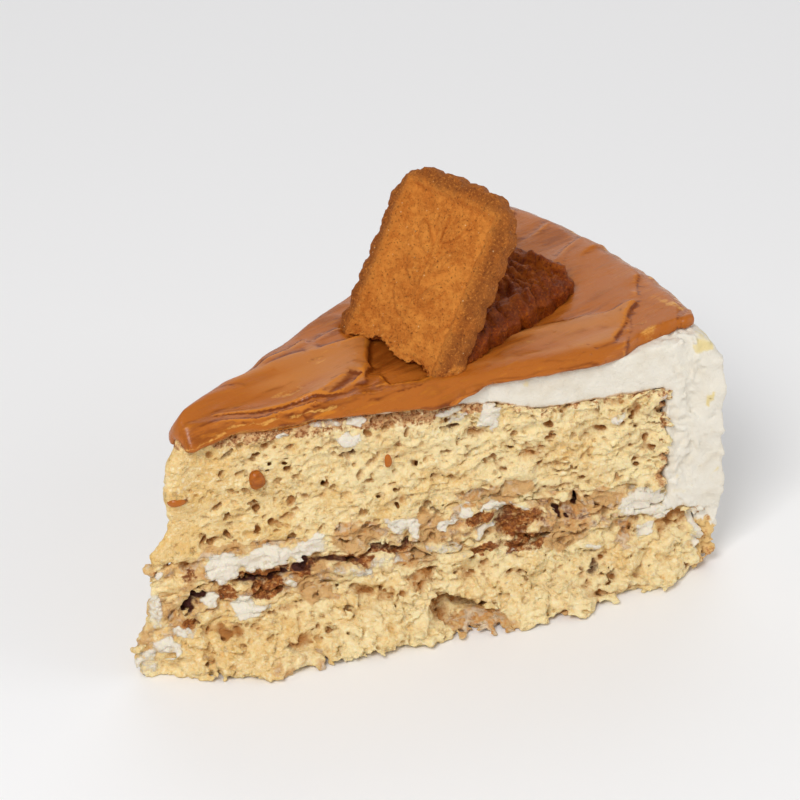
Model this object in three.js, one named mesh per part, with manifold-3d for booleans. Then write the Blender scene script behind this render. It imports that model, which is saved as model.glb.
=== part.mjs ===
// A slice of round tres leches cake, a tenth of the whole: two milk-soaked sponges with whipped cream and
// soaked biscuit between them, a whipped cream coat on top and round the rim, a speculoos spread swirled over
// the top, and two broken speculoos biscuits pressed into it.
// Millimetres, +Z up. +X runs from the tip to the rim along the middle of the slice, and -Y is the near cut.
import * as THREE from "three";
import { ImprovedNoise } from "three/addons/math/ImprovedNoise.js";
import { mergeVertices } from "three/addons/utils/BufferGeometryUtils.js";
import Module from "manifold-3d";

const wasm = await Module();
wasm.setup();
const { clamp, lerp, smoothstep, degToRad } = THREE.MathUtils;
const noise = new ImprovedNoise();

// The whole cake, and the slice cut from it.
const CAKE_RADIUS = 137;
const HALF_ANGLE = degToRad(36) / 2;
const GAP = 0.3; // between pieces that touch

// Radii, from the cake's centre, at which the slice's pieces start and end. The layers are whole numbers of
// equal steps long, so that neighbours bend at the same places.
const LAYER_STEP = 2.9;
const TIP_RADIUS = 6;
const SPONGE_RADIUS = TIP_RADIUS + 40 * LAYER_STEP;
const CRUMB_RADIUS = TIP_RADIUS + 37 * LAYER_STEP;
const BOTTOM_RADIUS = TIP_RADIUS + 43 * LAYER_STEP;
const COAT_START = 36;
const SPREAD_RADIUS = 132.5;

// The coat's rounded outer top edge, how wide and how tall, the height of its foot above the base, and how
// far the foot is drawn in.
const SHOULDER = 9;
const SHOULDER_HEIGHT = 13;
const WALL_FOOT = 1.5;
const FOOT_INSET = 0.6;

// The spread: its thickness on the top and at its hanging lip, and how sharply it bends over an edge.
const SPREAD = { thickness: 2.6, lip: 1.2, bend: 0.8, standOff: 0.5, tipHang: 3.6 };

// A whole biscuit, its scallops, and the panel pressed into its face.
const BISCUIT = { width: 34, length: 63, thickness: 6.5, corner: 9.5, scallop: 6.4, lobe: 0.7, round: 1.2 };
const PANEL = { inset: 5, corner: 3, depth: 0.6 };
// The teeth of a broken edge: how far they stand out, how far apart they are, and the cells that follow them.
const BREAK = { teeth: 0.9, pitch: 2.3, cell: 1.75 };

// The biscuit that stands: the middle of its broken front edge, and how it leans, turns and tilts. Its broken
// edge stops above the cream under the spread.
const STANDING = {
  foot: [58.4, -5.1, 64.6],
  facing: degToRad(198),
  lean: degToRad(60),
  roll: degToRad(-5.8),
  rise: 44.7,
  lowest: 61.7,
};

// The biscuit that lies behind it: its near lower corner at the rim end, and how it turns, dips and tilts.
const LYING = {
  corner: [115.6, -7.4, 63.6],
  turn: degToRad(15),
  dip: degToRad(-0.6),
  tilt: degToRad(3),
  rise: 51,
};

// A smooth curve through [position, value] points, level past its ends.
function profile(...points) {
  return (t) => {
    const next = points.findIndex(([at]) => t < at);
    if (next === 0) return points[0][1];
    if (next < 0) return points.at(-1)[1];
    const [[t0, v0], [t1, v1]] = [points[next - 1], points[next]];
    return lerp(v0, v1, smoothstep(t, t0, t1));
  };
}

// A bump of height 1 at its centre, gone at its reach to each side.
function bump(t, centre, reach) {
  const off = Math.abs(t - centre) / reach;
  return off >= 1 ? 0 : (1 - off * off) ** 2;
}

// Heights of the surfaces between the layers, by distance from the cake's centre.
const bottomSpongeHeight = profile([-9, 8], [12, 11.8], [32, 14.8], [66, 17.3], [82, 16.6], [112, 18.4],
  [132, 17.6]);
const lowerCreamHeight = profile([-9, 14.5], [28, 17], [60, 19.2], [95, 18.4], [122, 19.8]);
const crumbHeight = profile([-9, 18.8], [28, 22.8], [54, 22.6], [74, 27.8], [92, 27.3], [114, 20.6]);
const upperCreamHeight = profile([-9, 28.4], [40, 28.2], [78, 29.6], [95, 28.5], [122, 25.8]);
const spongeHeight = profile([0, 59.6], [30, 58.4], [64, 57], [77, 55.6], [91, 51.5], [122, 51.6]);
const coatHeight = profile([36, 59.2], [66, 60.5], [90, 61.2], [108, 61.7], [122, 63.4], [131, 65]);

// How far the coat's top has rounded down at a radius near the rim.
function shoulderDrop(radius) {
  const over = clamp(radius - (CAKE_RADIUS - SHOULDER), 0, SHOULDER);
  return SHOULDER_HEIGHT * (1 - Math.sqrt(1 - (over / SHOULDER) ** 2));
}

// Distance from the cake's centre, carried on smoothly past the slice's tip.
const along = (x, y) => x + y ** 2 / (2 * Math.max(x, 20));

// The fillings sag and rise a little away from the near cut.
const SAG = { height: 2, long: 37, wide: 30, seed: 4.7 };

function sag(x, y) {
  const awayFromCut = (clamp(Math.atan2(y, Math.max(x, TIP_RADIUS * 2)) / HALF_ANGLE, -1, 1) + 1) / 2;
  return SAG.height * awayFromCut * noise.noise(x / SAG.long, y / SAG.wide, SAG.seed);
}

// Surfaces as functions of a point in plan.
const bottomSpongeTop = (x, y) => bottomSpongeHeight(along(x, y)) + sag(x, y);
const lowerCreamTop = (x, y) => lowerCreamHeight(along(x, y)) + sag(x, y);
const crumbTop = (x, y) => crumbHeight(along(x, y)) + sag(x, y);
const upperCreamTop = (x, y) => upperCreamHeight(along(x, y)) + sag(x, y);
const topSpongeTop = (x, y) => spongeHeight(along(x, y));
const coatTop = (x, y) => coatHeight(along(x, y)) - shoulderDrop(along(x, y));
const base = () => 0;

// A surface moved by half the gap, so that the two pieces that share it stay clear of each other.
const above = (surface) => (x, y) => surface(x, y) + GAP / 2;
const below = (surface) => (x, y) => surface(x, y) - GAP / 2;

// How far the rounded tip stands forward, and how far each cut leans out, by height.
const tipReach = profile([0, 14.5], [7, 15], [15, 11.5], [21, 11.5], [27, 13], [32, 12.5], [37, 6.5],
  [51, 5.8], [56, 3.6], [60, 2.8]);
const TIP_FADE = 8; // how soon the reach dies away towards the rim
const nearLean = profile([0, 12.5], [5, 9], [10, 5], [16, 1.8], [27, 0.6], [32, 0]);
const nearLeanShare = profile([2, 0.85], [14, 1], [58, 1.05], [76, 0.9], [100, 0.95], [112, 0.75],
  [121, 0.45], [131, 0.1]);
const farLean = profile([0, 5.5], [8, 3], [16, 0.8], [30, 0]);

// The hollow torn under the bottom sponge's overhanging middle.
const HOLLOW = { centre: 70, reach: 13, height: 5, rise: 5, depth: 8 };

// Torn crumb, as lumps and hollows on a cut, stretched along it. It fades out under the top edge.
const TORN_TOP = { level: 56, fade: 6 };
const BOTTOM_TORN = { depth: 3, size: 7, seed: 12.3 };
const TOP_TORN = { depth: 1.8, size: 6, seed: 5.9 };
const CREAM_TORN = { depth: 1.1, size: 8, seed: 21.4 };

function torn(u, z, { depth, size, seed }) {
  const lumps = 1.2 * noise.noise(u / (size * 1.6), z / size, seed);
  const ripples = 0.8 * noise.noise(u / size, z / (size * 0.45), seed + 31.7);
  const fade = 1 - smoothstep(z, TORN_TOP.level - TORN_TOP.fade, TORN_TOP.level);
  return depth * fade * (lumps + ripples);
}

function nearCut(u, z, look) {
  const hollow = HOLLOW.depth * bump(u, HOLLOW.centre, HOLLOW.reach) * bump(z, HOLLOW.height, HOLLOW.rise);
  return nearLean(z) * nearLeanShare(u) + torn(u, z, look) - hollow;
}

const farCut = (u, z, look) => farLean(z) + torn(u, z, { ...look, seed: look.seed + 57.1 });

// The way out of the slice at a share q across it, on its cuts and round its tip.
function outward(q) {
  const turn = Math.min(Math.abs(q), 1) * (Math.PI / 2 - HALF_ANGLE);
  return new THREE.Vector2(-Math.cos(turn), Math.sign(q) * Math.sin(turn));
}

// The point in plan at a distance u from the cake's centre, a share q across and a height, with torn cuts.
function inPlan(u, q, z, look) {
  const plan = new THREE.Vector2(u * Math.cos(q * HALF_ANGLE), u * Math.sin(q * HALF_ANGLE));
  if (look) {
    const cut = (q < 0 ? nearCut : farCut)(u, z, look);
    plan.addScaledVector(outward(Math.sign(q)), Math.abs(q) ** 3 * cut);
  }
  plan.x -= tipReach(z) * (1 - q * q) * Math.exp((TIP_RADIUS - u) / TIP_FADE);
  return plan;
}

// A box of cells bent by a function of s (tip to rim), q (near cut -1 to far cut 1) and h (under to upper).
function bentBox([alongCells, acrossCells, upCells], place) {
  const geometry = new THREE.BoxGeometry(1, 1, 1, alongCells, acrossCells, upCells);
  const position = geometry.attributes.position;
  for (let i = 0; i < position.count; i++) {
    const p = place(position.getX(i) + 0.5, position.getY(i) * 2, position.getZ(i) + 0.5);
    position.setXYZ(i, p.x, p.y, p.z);
  }
  return geometry;
}

// One layer of the slice, between two surfaces and out to a radius.
function layer({ upCells, radius, bottom, top, look }) {
  const alongCells = Math.round((radius - TIP_RADIUS) / LAYER_STEP);
  const acrossCells = 4;
  return bentBox([alongCells, acrossCells, upCells], (s, q, h) => {
    const u = lerp(TIP_RADIUS, radius, s);
    const flat = inPlan(u, q, bottom(u, 0));
    const plan = inPlan(u, q, lerp(bottom(flat.x, flat.y), top(flat.x, flat.y), h), look);
    return new THREE.Vector3(plan.x, plan.y, lerp(bottom(plan.x, plan.y), top(plan.x, plan.y), h));
  });
}

function bottomSponge() {
  return layer({
    upCells: 8, radius: BOTTOM_RADIUS, look: BOTTOM_TORN,
    bottom: base, top: below(bottomSpongeTop),
  });
}

function lowerCream() {
  return layer({
    upCells: 2, radius: SPONGE_RADIUS, look: CREAM_TORN,
    bottom: above(bottomSpongeTop), top: below(lowerCreamTop),
  });
}

function biscuitCrumb() {
  return layer({
    upCells: 3, radius: CRUMB_RADIUS, look: TOP_TORN,
    bottom: above(lowerCreamTop), top: below(crumbTop),
  });
}

function upperCream() {
  return layer({
    upCells: 3, radius: SPONGE_RADIUS, look: CREAM_TORN,
    bottom: above(crumbTop), top: below(upperCreamTop),
  });
}

function topSponge() {
  return layer({
    upCells: 9, radius: SPONGE_RADIUS, look: TOP_TORN,
    bottom: above(upperCreamTop), top: below(topSpongeTop),
  });
}

// Marks of the palette knife round the wall.
function paletteMarks(angle, z) {
  return 0.9 * noise.noise(angle * 14, z / 5, 8.2) + 0.7 * noise.noise(angle * 5, z / 17, 3.1);
}

// The coat's section, from its thin start on the top, over the shoulder and down the wall to the foot. Each
// station has an inner and an outer point: a radius and a height, or the surface that gives the height.
function coatStations() {
  const inner = SPONGE_RADIUS + GAP;
  const foot = BOTTOM_RADIUS + GAP;
  const topCells = 12;
  const overhang = 3; // how far the outer point is ahead of the inner one where the top ends
  const stations = [];
  for (let i = 0; i <= topCells; i++) {
    const share = i / topCells;
    const radius = lerp(COAT_START, inner, share);
    stations.push([[radius, above(topSpongeTop)], [radius + overhang * share, coatTop]]);
  }
  const roundShoulder = [[30, 48], [60, 44], [88, 40]]; // degrees turned outside, height inside
  for (const [turn, height] of roundShoulder) {
    const radius = CAKE_RADIUS - SHOULDER * (1 - Math.sin(degToRad(turn)));
    stations.push([[inner, () => height], [radius, coatTop]]);
  }
  for (const height of [34, 27]) stations.push([[inner, () => height], [CAKE_RADIUS, () => height]]);
  stations.push([[inner, above(bottomSpongeTop)], [CAKE_RADIUS, () => 20]]);
  stations.push([[foot, above(bottomSpongeTop)], [CAKE_RADIUS, () => 16]]);
  for (const height of [11, 6, WALL_FOOT]) {
    stations.push([[foot, () => height], [CAKE_RADIUS - FOOT_INSET, () => height]]);
  }
  return stations;
}

function creamCoat() {
  const stations = coatStations();
  const last = stations.length - 1;
  const acrossCells = 10;
  const throughCells = 2;
  return bentBox([last, acrossCells, throughCells], (s, q, h) => {
    const [inner, outer] = stations[Math.round(s * last)];
    const angle = q * HALF_ANGLE;
    const point = ([radius, height], marks) => {
      const level = height(radius * Math.cos(angle), radius * Math.sin(angle));
      const onWall = smoothstep(radius, CAKE_RADIUS - SHOULDER / 2, CAKE_RADIUS - 1);
      const plan = inPlan(radius + marks * onWall * paletteMarks(angle, level), q, level, CREAM_TORN);
      return new THREE.Vector3(plan.x, plan.y, height(plan.x, plan.y));
    };
    return point(inner, 0).lerp(point(outer, 1), h);
  });
}

// A closed geometry as a solid, and back.
function toSolid(geometry) {
  const bare = new THREE.BufferGeometry().setAttribute("position", geometry.attributes.position.clone());
  bare.setIndex(geometry.index);
  const merged = mergeVertices(bare, 1e-4);
  const mesh = { numProp: 3, vertProperties: merged.attributes.position.array, triVerts: merged.index.array };
  return new wasm.Manifold(new wasm.Mesh(mesh));
}

function toGeometry(solid) {
  const mesh = solid.getMesh();
  const geometry = new THREE.BufferGeometry();
  geometry.setAttribute("position", new THREE.BufferAttribute(mesh.vertProperties, 3));
  geometry.setIndex(new THREE.BufferAttribute(mesh.triVerts, 1));
  geometry.computeVertexNormals();
  return geometry;
}

// A solid's largest piece, without the crumbs that a cut leaves.
function largest(solid) {
  return solid.decompose().reduce((best, piece) => (piece.volume() > best.volume() ? piece : best));
}

// The outline of a rounded rectangle, with evenly spaced lobes pushed out between its notches.
function roundedOutline(width, length, corner, scallop = 0, lobe = 0) {
  const [w, l] = [width / 2 - corner, length / 2 - corner];
  const path = new THREE.Path();
  path.moveTo(w + corner, -l);
  path.absarc(w, l, corner, 0, Math.PI / 2);
  path.absarc(-w, l, corner, Math.PI / 2, Math.PI);
  path.absarc(-w, -l, corner, Math.PI, 1.5 * Math.PI);
  path.absarc(w, -l, corner, 1.5 * Math.PI, 2 * Math.PI);
  const cornerCells = 7;
  if (!lobe) return new THREE.Shape(path.getPoints(cornerCells).slice(0, -1));
  const lobes = Math.round(path.getLength() / scallop);
  const steps = 4; // points to a lobe
  const points = path.getSpacedPoints(lobes * steps).slice(0, -1);
  return new THREE.Shape(points.map((point, i) => {
    const [before, after] = [points.at(i - 1), points[(i + 1) % points.length]];
    const side = new THREE.Vector2(after.y - before.y, before.x - after.x).normalize();
    const out = lobe * Math.abs(Math.sin((Math.PI * i) / steps));
    return point.clone().addScaledVector(side, out - lobe);
  }));
}

// A broken biscuit lying flat: X across, Y along, its face up, its whole end at +Y, its broken edge at Y = 0.
// The grown copy, with plain sides round the lobes, cuts the room that it needs out of its neighbours.
function biscuitSolid(rise, breakLine, grow = 0) {
  const { width, length, thickness, corner, scallop, lobe, round } = BISCUIT;
  const outline = grow
    ? roundedOutline(width + 2 * grow, length + 2 * grow, corner + grow)
    : roundedOutline(width, length, corner, scallop, lobe);
  const flat = thickness - 2 * round + 2 * grow;
  const bevel = { bevelThickness: round, bevelSize: round, bevelOffset: -round, bevelSegments: 2 };
  const body = new THREE.ExtrudeGeometry(outline, { depth: flat, ...bevel });
  let solid = toSolid(body.translate(0, rise - length / 2, round - thickness - grow));
  if (!grow) {
    const panelShape = roundedOutline(width - 2 * PANEL.inset, length - 2 * PANEL.inset, PANEL.corner);
    const panel = new THREE.ExtrudeGeometry(panelShape, { depth: 2 * PANEL.depth, bevelEnabled: false });
    solid = solid.subtract(toSolid(panel.translate(0, rise - length / 2, -PANEL.depth)));
  }
  const lost = new THREE.Shape([new THREE.Vector2(-width, -length), new THREE.Vector2(width, -length)]);
  for (let x = width; x >= -width; x -= BREAK.cell) lost.lineTo(x, breakLine(x) - grow);
  const brokenOff = new THREE.ExtrudeGeometry(lost, { depth: 3 * thickness, bevelEnabled: false });
  return solid.subtract(toSolid(brokenOff.translate(0, 0, -2 * thickness)));
}

// A ragged break: a curve with teeth.
const ragged = (curve, seed) => (x) => curve(x) + BREAK.teeth * noise.noise(x / BREAK.pitch, 0.4, seed);
const standingBreak = ragged(
  profile([-17, 0.2], [-11, 1.5], [-5, 3.2], [2, 1], [7, 1.9], [12, -0.4], [15, 0.6], [17.5, 3.6]), 2.2);
const lyingBreak = ragged(() => 0, 7.7);

// The standing biscuit's place: its face leans back from upright and looks towards the tip.
function standingPose() {
  const { foot, facing, lean, roll } = STANDING;
  const back = new THREE.Vector3(-Math.cos(facing), -Math.sin(facing), 0);
  const up = back.clone().multiplyScalar(Math.cos(lean)).setZ(Math.sin(lean));
  const face = back.clone().multiplyScalar(-Math.sin(lean)).setZ(Math.cos(lean));
  const pose = new THREE.Matrix4().makeBasis(up.clone().cross(face), up, face).setPosition(...foot);
  return pose.multiply(new THREE.Matrix4().makeRotationZ(roll));
}

// The lying biscuit's place: its whole end points to the rim, its broken end is under the standing one.
function lyingPose() {
  const { corner, turn, dip, tilt, rise } = LYING;
  const pose = new THREE.Matrix4().setPosition(...corner);
  const turned = new THREE.Euler(dip, tilt, turn - Math.PI / 2, "ZXY");
  pose.multiply(new THREE.Matrix4().makeRotationFromEuler(turned));
  return pose.multiply(new THREE.Matrix4().makeTranslation(-BISCUIT.width / 2, -rise, BISCUIT.thickness));
}

// All the room above a level, wider than the slice.
const ROOM = { width: 300, height: 100 };

function roomAbove(level) {
  const room = new THREE.BoxGeometry(ROOM.width, ROOM.width, ROOM.height);
  return toSolid(room.translate(0, 0, level + ROOM.height / 2));
}

// The same below a level.
const roomBelow = (level) => roomAbove(level - ROOM.height);

const place = (solid, pose) => solid.transform(pose.elements);

// The room in front of the standing biscuit's back, which the lying one stays clear of.
const inFrontOfStanding = () => place(roomAbove(-BISCUIT.thickness - GAP), standingPose());

// How far the spread hangs down past the cuts, or stops short of them where it is below zero.
const nearHang = profile([0, 5], [7, 4.5], [11, 3], [34, 2.8], [58, 3.2], [66, 5.4], [71, 2.4], [77, 0.5],
  [106, 0.4], [112, -1.5], [117, -4], [130, -6]);
const farHang = profile([0, 4], [20, 2], [30, 4.5], [42, 2], [70, 2.6], [84, 5], [98, 2], [120, -1],
  [130, -5]);

// The spread's surface: the knife's curved strokes over broad swells, a stroke that ends in a step before
// the standing biscuit, the bank pushed up round the lying one, and the one left along the far cut.
const STROKE = { height: 0.6, pitch: 2.2, curve: 0.0035, middle: 70, wander: 5 };
const SWELL = { height: 0.9, long: 15, wide: 9 };
const STEP = { from: 26, line: 54, slope: 0.6, y: -2, reach: 18, rise: 1.1, fall: 0.9, run: 14 };
const BANK = { x: 95, y: 12, reachX: 34, reachY: 27, rise: 2 };
const FAR_BANK = { rise: 3, from: -0.1, to: 0.75, tip: 10, rim: 1.4 };

function spreadThickness(x, y) {
  const wander = STROKE.wander * noise.noise(x / 34, y / 20, 1.3);
  const across = y + STROKE.curve * (x - STROKE.middle) ** 2 + wander;
  const strokes = STROKE.height * Math.sin(across / STROKE.pitch) * noise.noise(x / 26, y / 11, 6.6);
  const swells = SWELL.height * noise.noise(x / SWELL.long, y / SWELL.wide, 2.9);
  const line = STEP.line + STEP.slope * y;
  const rise = STEP.rise * smoothstep(x, STEP.from, line);
  const fall = STEP.fall * bump(x, line, STEP.run);
  const step = (x < line ? rise : -fall) * bump(y, STEP.y, STEP.reach);
  const bank = BANK.rise * bump(x, BANK.x, BANK.reachX) * bump(y, BANK.y, BANK.reachY);
  const share = Math.atan2(y, Math.max(x, FAR_BANK.tip)) / HALF_ANGLE;
  const farRise = lerp(FAR_BANK.rise, FAR_BANK.rim, smoothstep(x, BANK.x, SPREAD_RADIUS));
  const farBank = farRise * smoothstep(share, FAR_BANK.from, FAR_BANK.to);
  return SPREAD.thickness + strokes + swells + step + Math.max(bank, farBank);
}

// What the spread lies on: the sponge, and from just before the coat's start also the coat.
const LAP = 3;

function underSpread(x, y) {
  const sponge = topSpongeTop(x, y);
  return GAP + (along(x, y) > COAT_START - LAP ? Math.max(sponge, coatTop(x, y)) : sponge);
}

// The spread's edges: how it draws in at the tip's corners, stops short at the rim's near corner, waves along
// the rim, stands off past a cut and thins out towards the rim.
const SPREAD_EDGE = { cornerDraw: 0.8, nearShort: 3, wave: 1.6, lift: 0.6, rimThinning: 0.45 };

// A run past an edge, carried over a small round and down.
function overEdge(run) {
  const turn = Math.min(run / SPREAD.bend, Math.PI / 2);
  const straight = Math.max(0, run - SPREAD.bend * (Math.PI / 2));
  return { turn, out: SPREAD.bend * Math.sin(turn), down: SPREAD.bend * (1 - Math.cos(turn)) + straight };
}

function spreadSheet() {
  const alongCells = 37;
  const acrossCells = 16;
  const sideCells = 2; // of them, at each side, hang over the edge
  const topShare = 1 - (2 * sideCells) / acrossCells;
  const tipShare = 0.05;
  const { cornerDraw, nearShort, wave, lift, rimThinning } = SPREAD_EDGE;
  return bentBox([alongCells, acrossCells, 1], (s, q, h) => {
    const overTip = Math.max(0, 1 - s / tipShare);
    const overSide = Math.max(0, Math.abs(q) - topShare) / (1 - topShare);
    const rim = SPREAD_RADIUS + wave * noise.noise(q * 2.4, 0.3, 9.1) - nearShort * smoothstep(-q, 0.5, 1);
    const pastTip = Math.max(0, s - tipShare) / (1 - tipShare);
    const u = lerp(TIP_RADIUS, rim, pastTip) - cornerDraw * overTip * overSide;
    const hang = (q < 0 ? nearHang : farHang)(u);
    const shortOfEdge = Math.min(hang, 0) / (u * Math.sin(HALF_ANGLE));
    const onTop = clamp(q / topShare, -1, 1) * (1 + shortOfEdge);
    const edge = overEdge(Math.max(overTip * SPREAD.tipHang, overSide * Math.max(hang, 0)));
    const atEdge = Math.max(overTip, overSide);
    const plan = inPlan(u, onTop, coatHeight(u));
    const onEdge = plan.clone();
    plan.addScaledVector(outward(onTop), edge.out + lift * atEdge + SPREAD.standOff * Math.sin(edge.turn));
    const level = underSpread(edge.down ? onEdge.x : plan.x, edge.down ? onEdge.y : plan.y) - edge.down;
    const full = spreadThickness(plan.x, plan.y) * (1 - rimThinning * smoothstep(s, 0.94, 1));
    const thick = h * lerp(full, SPREAD.lip, smoothstep(atEdge, 0, 0.6));
    plan.addScaledVector(outward(onTop), thick * Math.sin(edge.turn));
    return new THREE.Vector3(plan.x, plan.y, level + thick * Math.cos(edge.turn));
  });
}

// The two biscuits, each cut clear of the other and of the cream below, and the spread with room for both.
function standingBiscuit(grow = 0) {
  const biscuit = place(biscuitSolid(STANDING.rise, standingBreak, grow), standingPose());
  return largest(biscuit.subtract(roomBelow(STANDING.lowest - grow)));
}

function lyingBiscuit(grow = 0) {
  const biscuit = place(biscuitSolid(LYING.rise, lyingBreak, grow), lyingPose());
  return largest(grow ? biscuit : biscuit.subtract(inFrontOfStanding()));
}

function speculoosSpread() {
  return largest(toSolid(spreadSheet()).subtract(standingBiscuit(GAP)).subtract(lyingBiscuit(GAP)));
}

// Each piece with its colour and how rough it is.
const PIECES = {
  bottom_sponge: [bottomSponge(), "#e6cf95", 0.75],
  lower_cream: [lowerCream(), "#f1eadc", 0.55],
  biscuit_crumb: [biscuitCrumb(), "#8d5a33", 0.8],
  upper_cream: [upperCream(), "#f1eadc", 0.55],
  top_sponge: [topSponge(), "#e8d19a", 0.75],
  cream_coat: [creamCoat(), "#f3eee3", 0.5],
  speculoos_spread: [toGeometry(speculoosSpread()), "#a8561b", 0.3],
  standing_biscuit: [toGeometry(standingBiscuit()), "#b5682a", 0.8],
  lying_biscuit: [toGeometry(lyingBiscuit()), "#7c3d16", 0.5],
};

const slice = new THREE.Group();
for (const [name, [geometry, color, roughness]] of Object.entries(PIECES)) {
  const mesh = new THREE.Mesh(geometry, new THREE.MeshStandardMaterial({ color, roughness, metalness: 0 }));
  mesh.name = name;
  slice.add(mesh);
}

// The origin is under the middle of the slice's box, at its base.
const box = new THREE.Box3().setFromObject(slice);
const centre = box.getCenter(new THREE.Vector3());
slice.position.set(-centre.x, -centre.y, -box.min.z);

const part = new THREE.Group();
part.add(slice);
export default part;
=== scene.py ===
"""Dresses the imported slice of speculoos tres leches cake.

Two torn, milk soaked sponges with cream and soaked biscuit between them, a whipped cream coat, a
speculoos spread swirled on with a knife, and two broken biscuits pressed into it. Shapes are worked out
in millimetres and become metres where a mesh is made. The slice's own axes start on the cake's centre
line at its tip: X runs along its middle to the rim, -Y is the near cut and +Y the far one.
"""

import logging
import math
from collections.abc import Callable, Iterator
from copy import deepcopy
from dataclasses import dataclass, replace
from enum import Enum
from itertools import product
from typing import ClassVar

import bmesh
import bpy
import numpy as np
import openvdb
from mathutils import Matrix, Vector


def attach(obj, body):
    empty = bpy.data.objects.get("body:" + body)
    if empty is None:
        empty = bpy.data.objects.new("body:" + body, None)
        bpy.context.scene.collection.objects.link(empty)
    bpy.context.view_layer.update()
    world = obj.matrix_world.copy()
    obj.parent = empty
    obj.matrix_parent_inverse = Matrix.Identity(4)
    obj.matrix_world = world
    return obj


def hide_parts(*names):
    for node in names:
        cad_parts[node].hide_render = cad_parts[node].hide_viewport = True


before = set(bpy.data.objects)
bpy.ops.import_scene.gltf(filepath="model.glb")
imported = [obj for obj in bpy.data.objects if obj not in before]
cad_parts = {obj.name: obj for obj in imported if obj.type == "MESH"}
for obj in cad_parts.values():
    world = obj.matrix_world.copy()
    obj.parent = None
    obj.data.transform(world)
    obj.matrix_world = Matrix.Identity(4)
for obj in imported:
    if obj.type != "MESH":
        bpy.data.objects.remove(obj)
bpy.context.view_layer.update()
MM = 0.001  # metres
LOG = logging.getLogger("slice")

Colour = tuple[float, float, float]
Pitch = tuple[float, float, float]
Step = tuple[int, int, int]
Field = Callable[[np.ndarray], np.ndarray]


def srgb(code: str) -> Colour:
    """Turns a colour as painters write it into the renderer's linear light.

    Args:
        code: Six hexadecimal digits, red first.

    Returns:
        Red, green and blue in linear light.
    """
    parts = (int(code[i:i + 2], 16) / 255 for i in (0, 2, 4))
    return tuple(((part + 0.055) / 1.055) ** 2.4 if part > 0.04045 else part / 12.92 for part in parts)


def ease(value: np.ndarray, start: float, end: float) -> np.ndarray:
    """Runs smoothly from 0 at start to 1 at end.

    Args:
        value: The places to look at.
        start: Where the result is still 0.
        end: Where the result has become 1. It may lie before start.

    Returns:
        The smooth share at each place.
    """
    share = np.clip((value - start) / (end - start), 0.0, 1.0)
    return share * share * (3.0 - 2.0 * share)


@dataclass(frozen=True)
class Profile:
    """A smooth curve through stops of place and value, level past its ends."""

    stops: tuple[tuple[float, float], ...]

    def __call__(self, at: np.ndarray) -> np.ndarray:
        """Gives the curve's value.

        Args:
            at: Places along the curve.

        Returns:
            The value at each place.
        """
        places, values = np.array(self.stops, dtype=float).T
        after = np.clip(np.searchsorted(places, at), 1, len(places) - 1)
        share = np.clip((at - places[after - 1]) / (places[after] - places[after - 1]), 0.0, 1.0)
        return values[after - 1] + (values[after] - values[after - 1]) * share * share * (3.0 - 2.0 * share)


@dataclass(frozen=True)
class SlicePlan:
    """The wedge in plan: its tip in the frame's millimetres, half its angle and its radius."""

    tip: tuple[float, float] = (-64.114, -1.454)
    half_angle: float = math.radians(18)
    radius: float = 137.0

    def own(self, points: np.ndarray) -> tuple[np.ndarray, np.ndarray]:
        """Gives the points' plan in the slice's own axes."""
        return points[:, 0] - self.tip[0], points[:, 1] - self.tip[1]

    def along(self, points: np.ndarray) -> np.ndarray:
        """Gives each point's distance from the tip along the nearer cut."""
        x, y = self.own(points)
        return x * math.cos(self.half_angle) + np.abs(y) * math.sin(self.half_angle)

    def from_centre(self, points: np.ndarray) -> np.ndarray:
        """Gives each point's distance from the cake's centre line."""
        return np.hypot(*self.own(points))

    def inside(self, points: np.ndarray) -> np.ndarray:
        """Gives how far each point is inside the nearer cut's plane."""
        x, y = self.own(points)
        return x * math.sin(self.half_angle) - np.abs(y) * math.cos(self.half_angle)

    def inward(self, place: np.ndarray) -> np.ndarray:
        """Gives the way into the cake from the cut that a place is nearer to."""
        side = 1.0 if place[1] < self.tip[1] else -1.0
        return np.array((math.sin(self.half_angle), math.cos(self.half_angle) * side, 0.0))

    def on_far_side(self, points: np.ndarray) -> np.ndarray:
        """Tells which points are on the far cut's side."""
        return points[:, 1] > self.tip[1]

    def near_cut(self, points: np.ndarray, depth: float, fade: float) -> np.ndarray:
        """Gives 1 close to a cut or the tip, fading to 0 further in.

        Args:
            points: Places in the frame's millimetres.
            depth: How deep inside the cut the result is still 1.
            fade: How much deeper it becomes 0.

        Returns:
            The share at each place.
        """
        return 1.0 - ease(self.inside(points), depth, depth + fade)


PLAN = SlicePlan()


class Lattice:
    """A lattice over space whose every cell has a number from 0 to 255."""

    def __init__(self, seed: int) -> None:
        """Draws the table of numbers from the seed."""
        self.draw = np.random.default_rng(seed)
        self.table = self.draw.permutation(256)

    def around(self, cell: np.ndarray, steps: tuple[int, ...]) -> Iterator[tuple[Step, np.ndarray]]:
        """Walks the cells near each point's own.

        Args:
            cell: The points' own cells, one row a point.
            steps: How many cells away to look along each axis.

        Returns:
            Each step, with the numbers of the cells that it leads to.
        """
        for x in steps:
            first = self.table[(cell[:, 0] + x) & 255]
            for y in steps:
                second = self.table[(first + cell[:, 1] + y) & 255]
                for z in steps:
                    yield (x, y, z), self.table[(second + cell[:, 2] + z) & 255]


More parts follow.
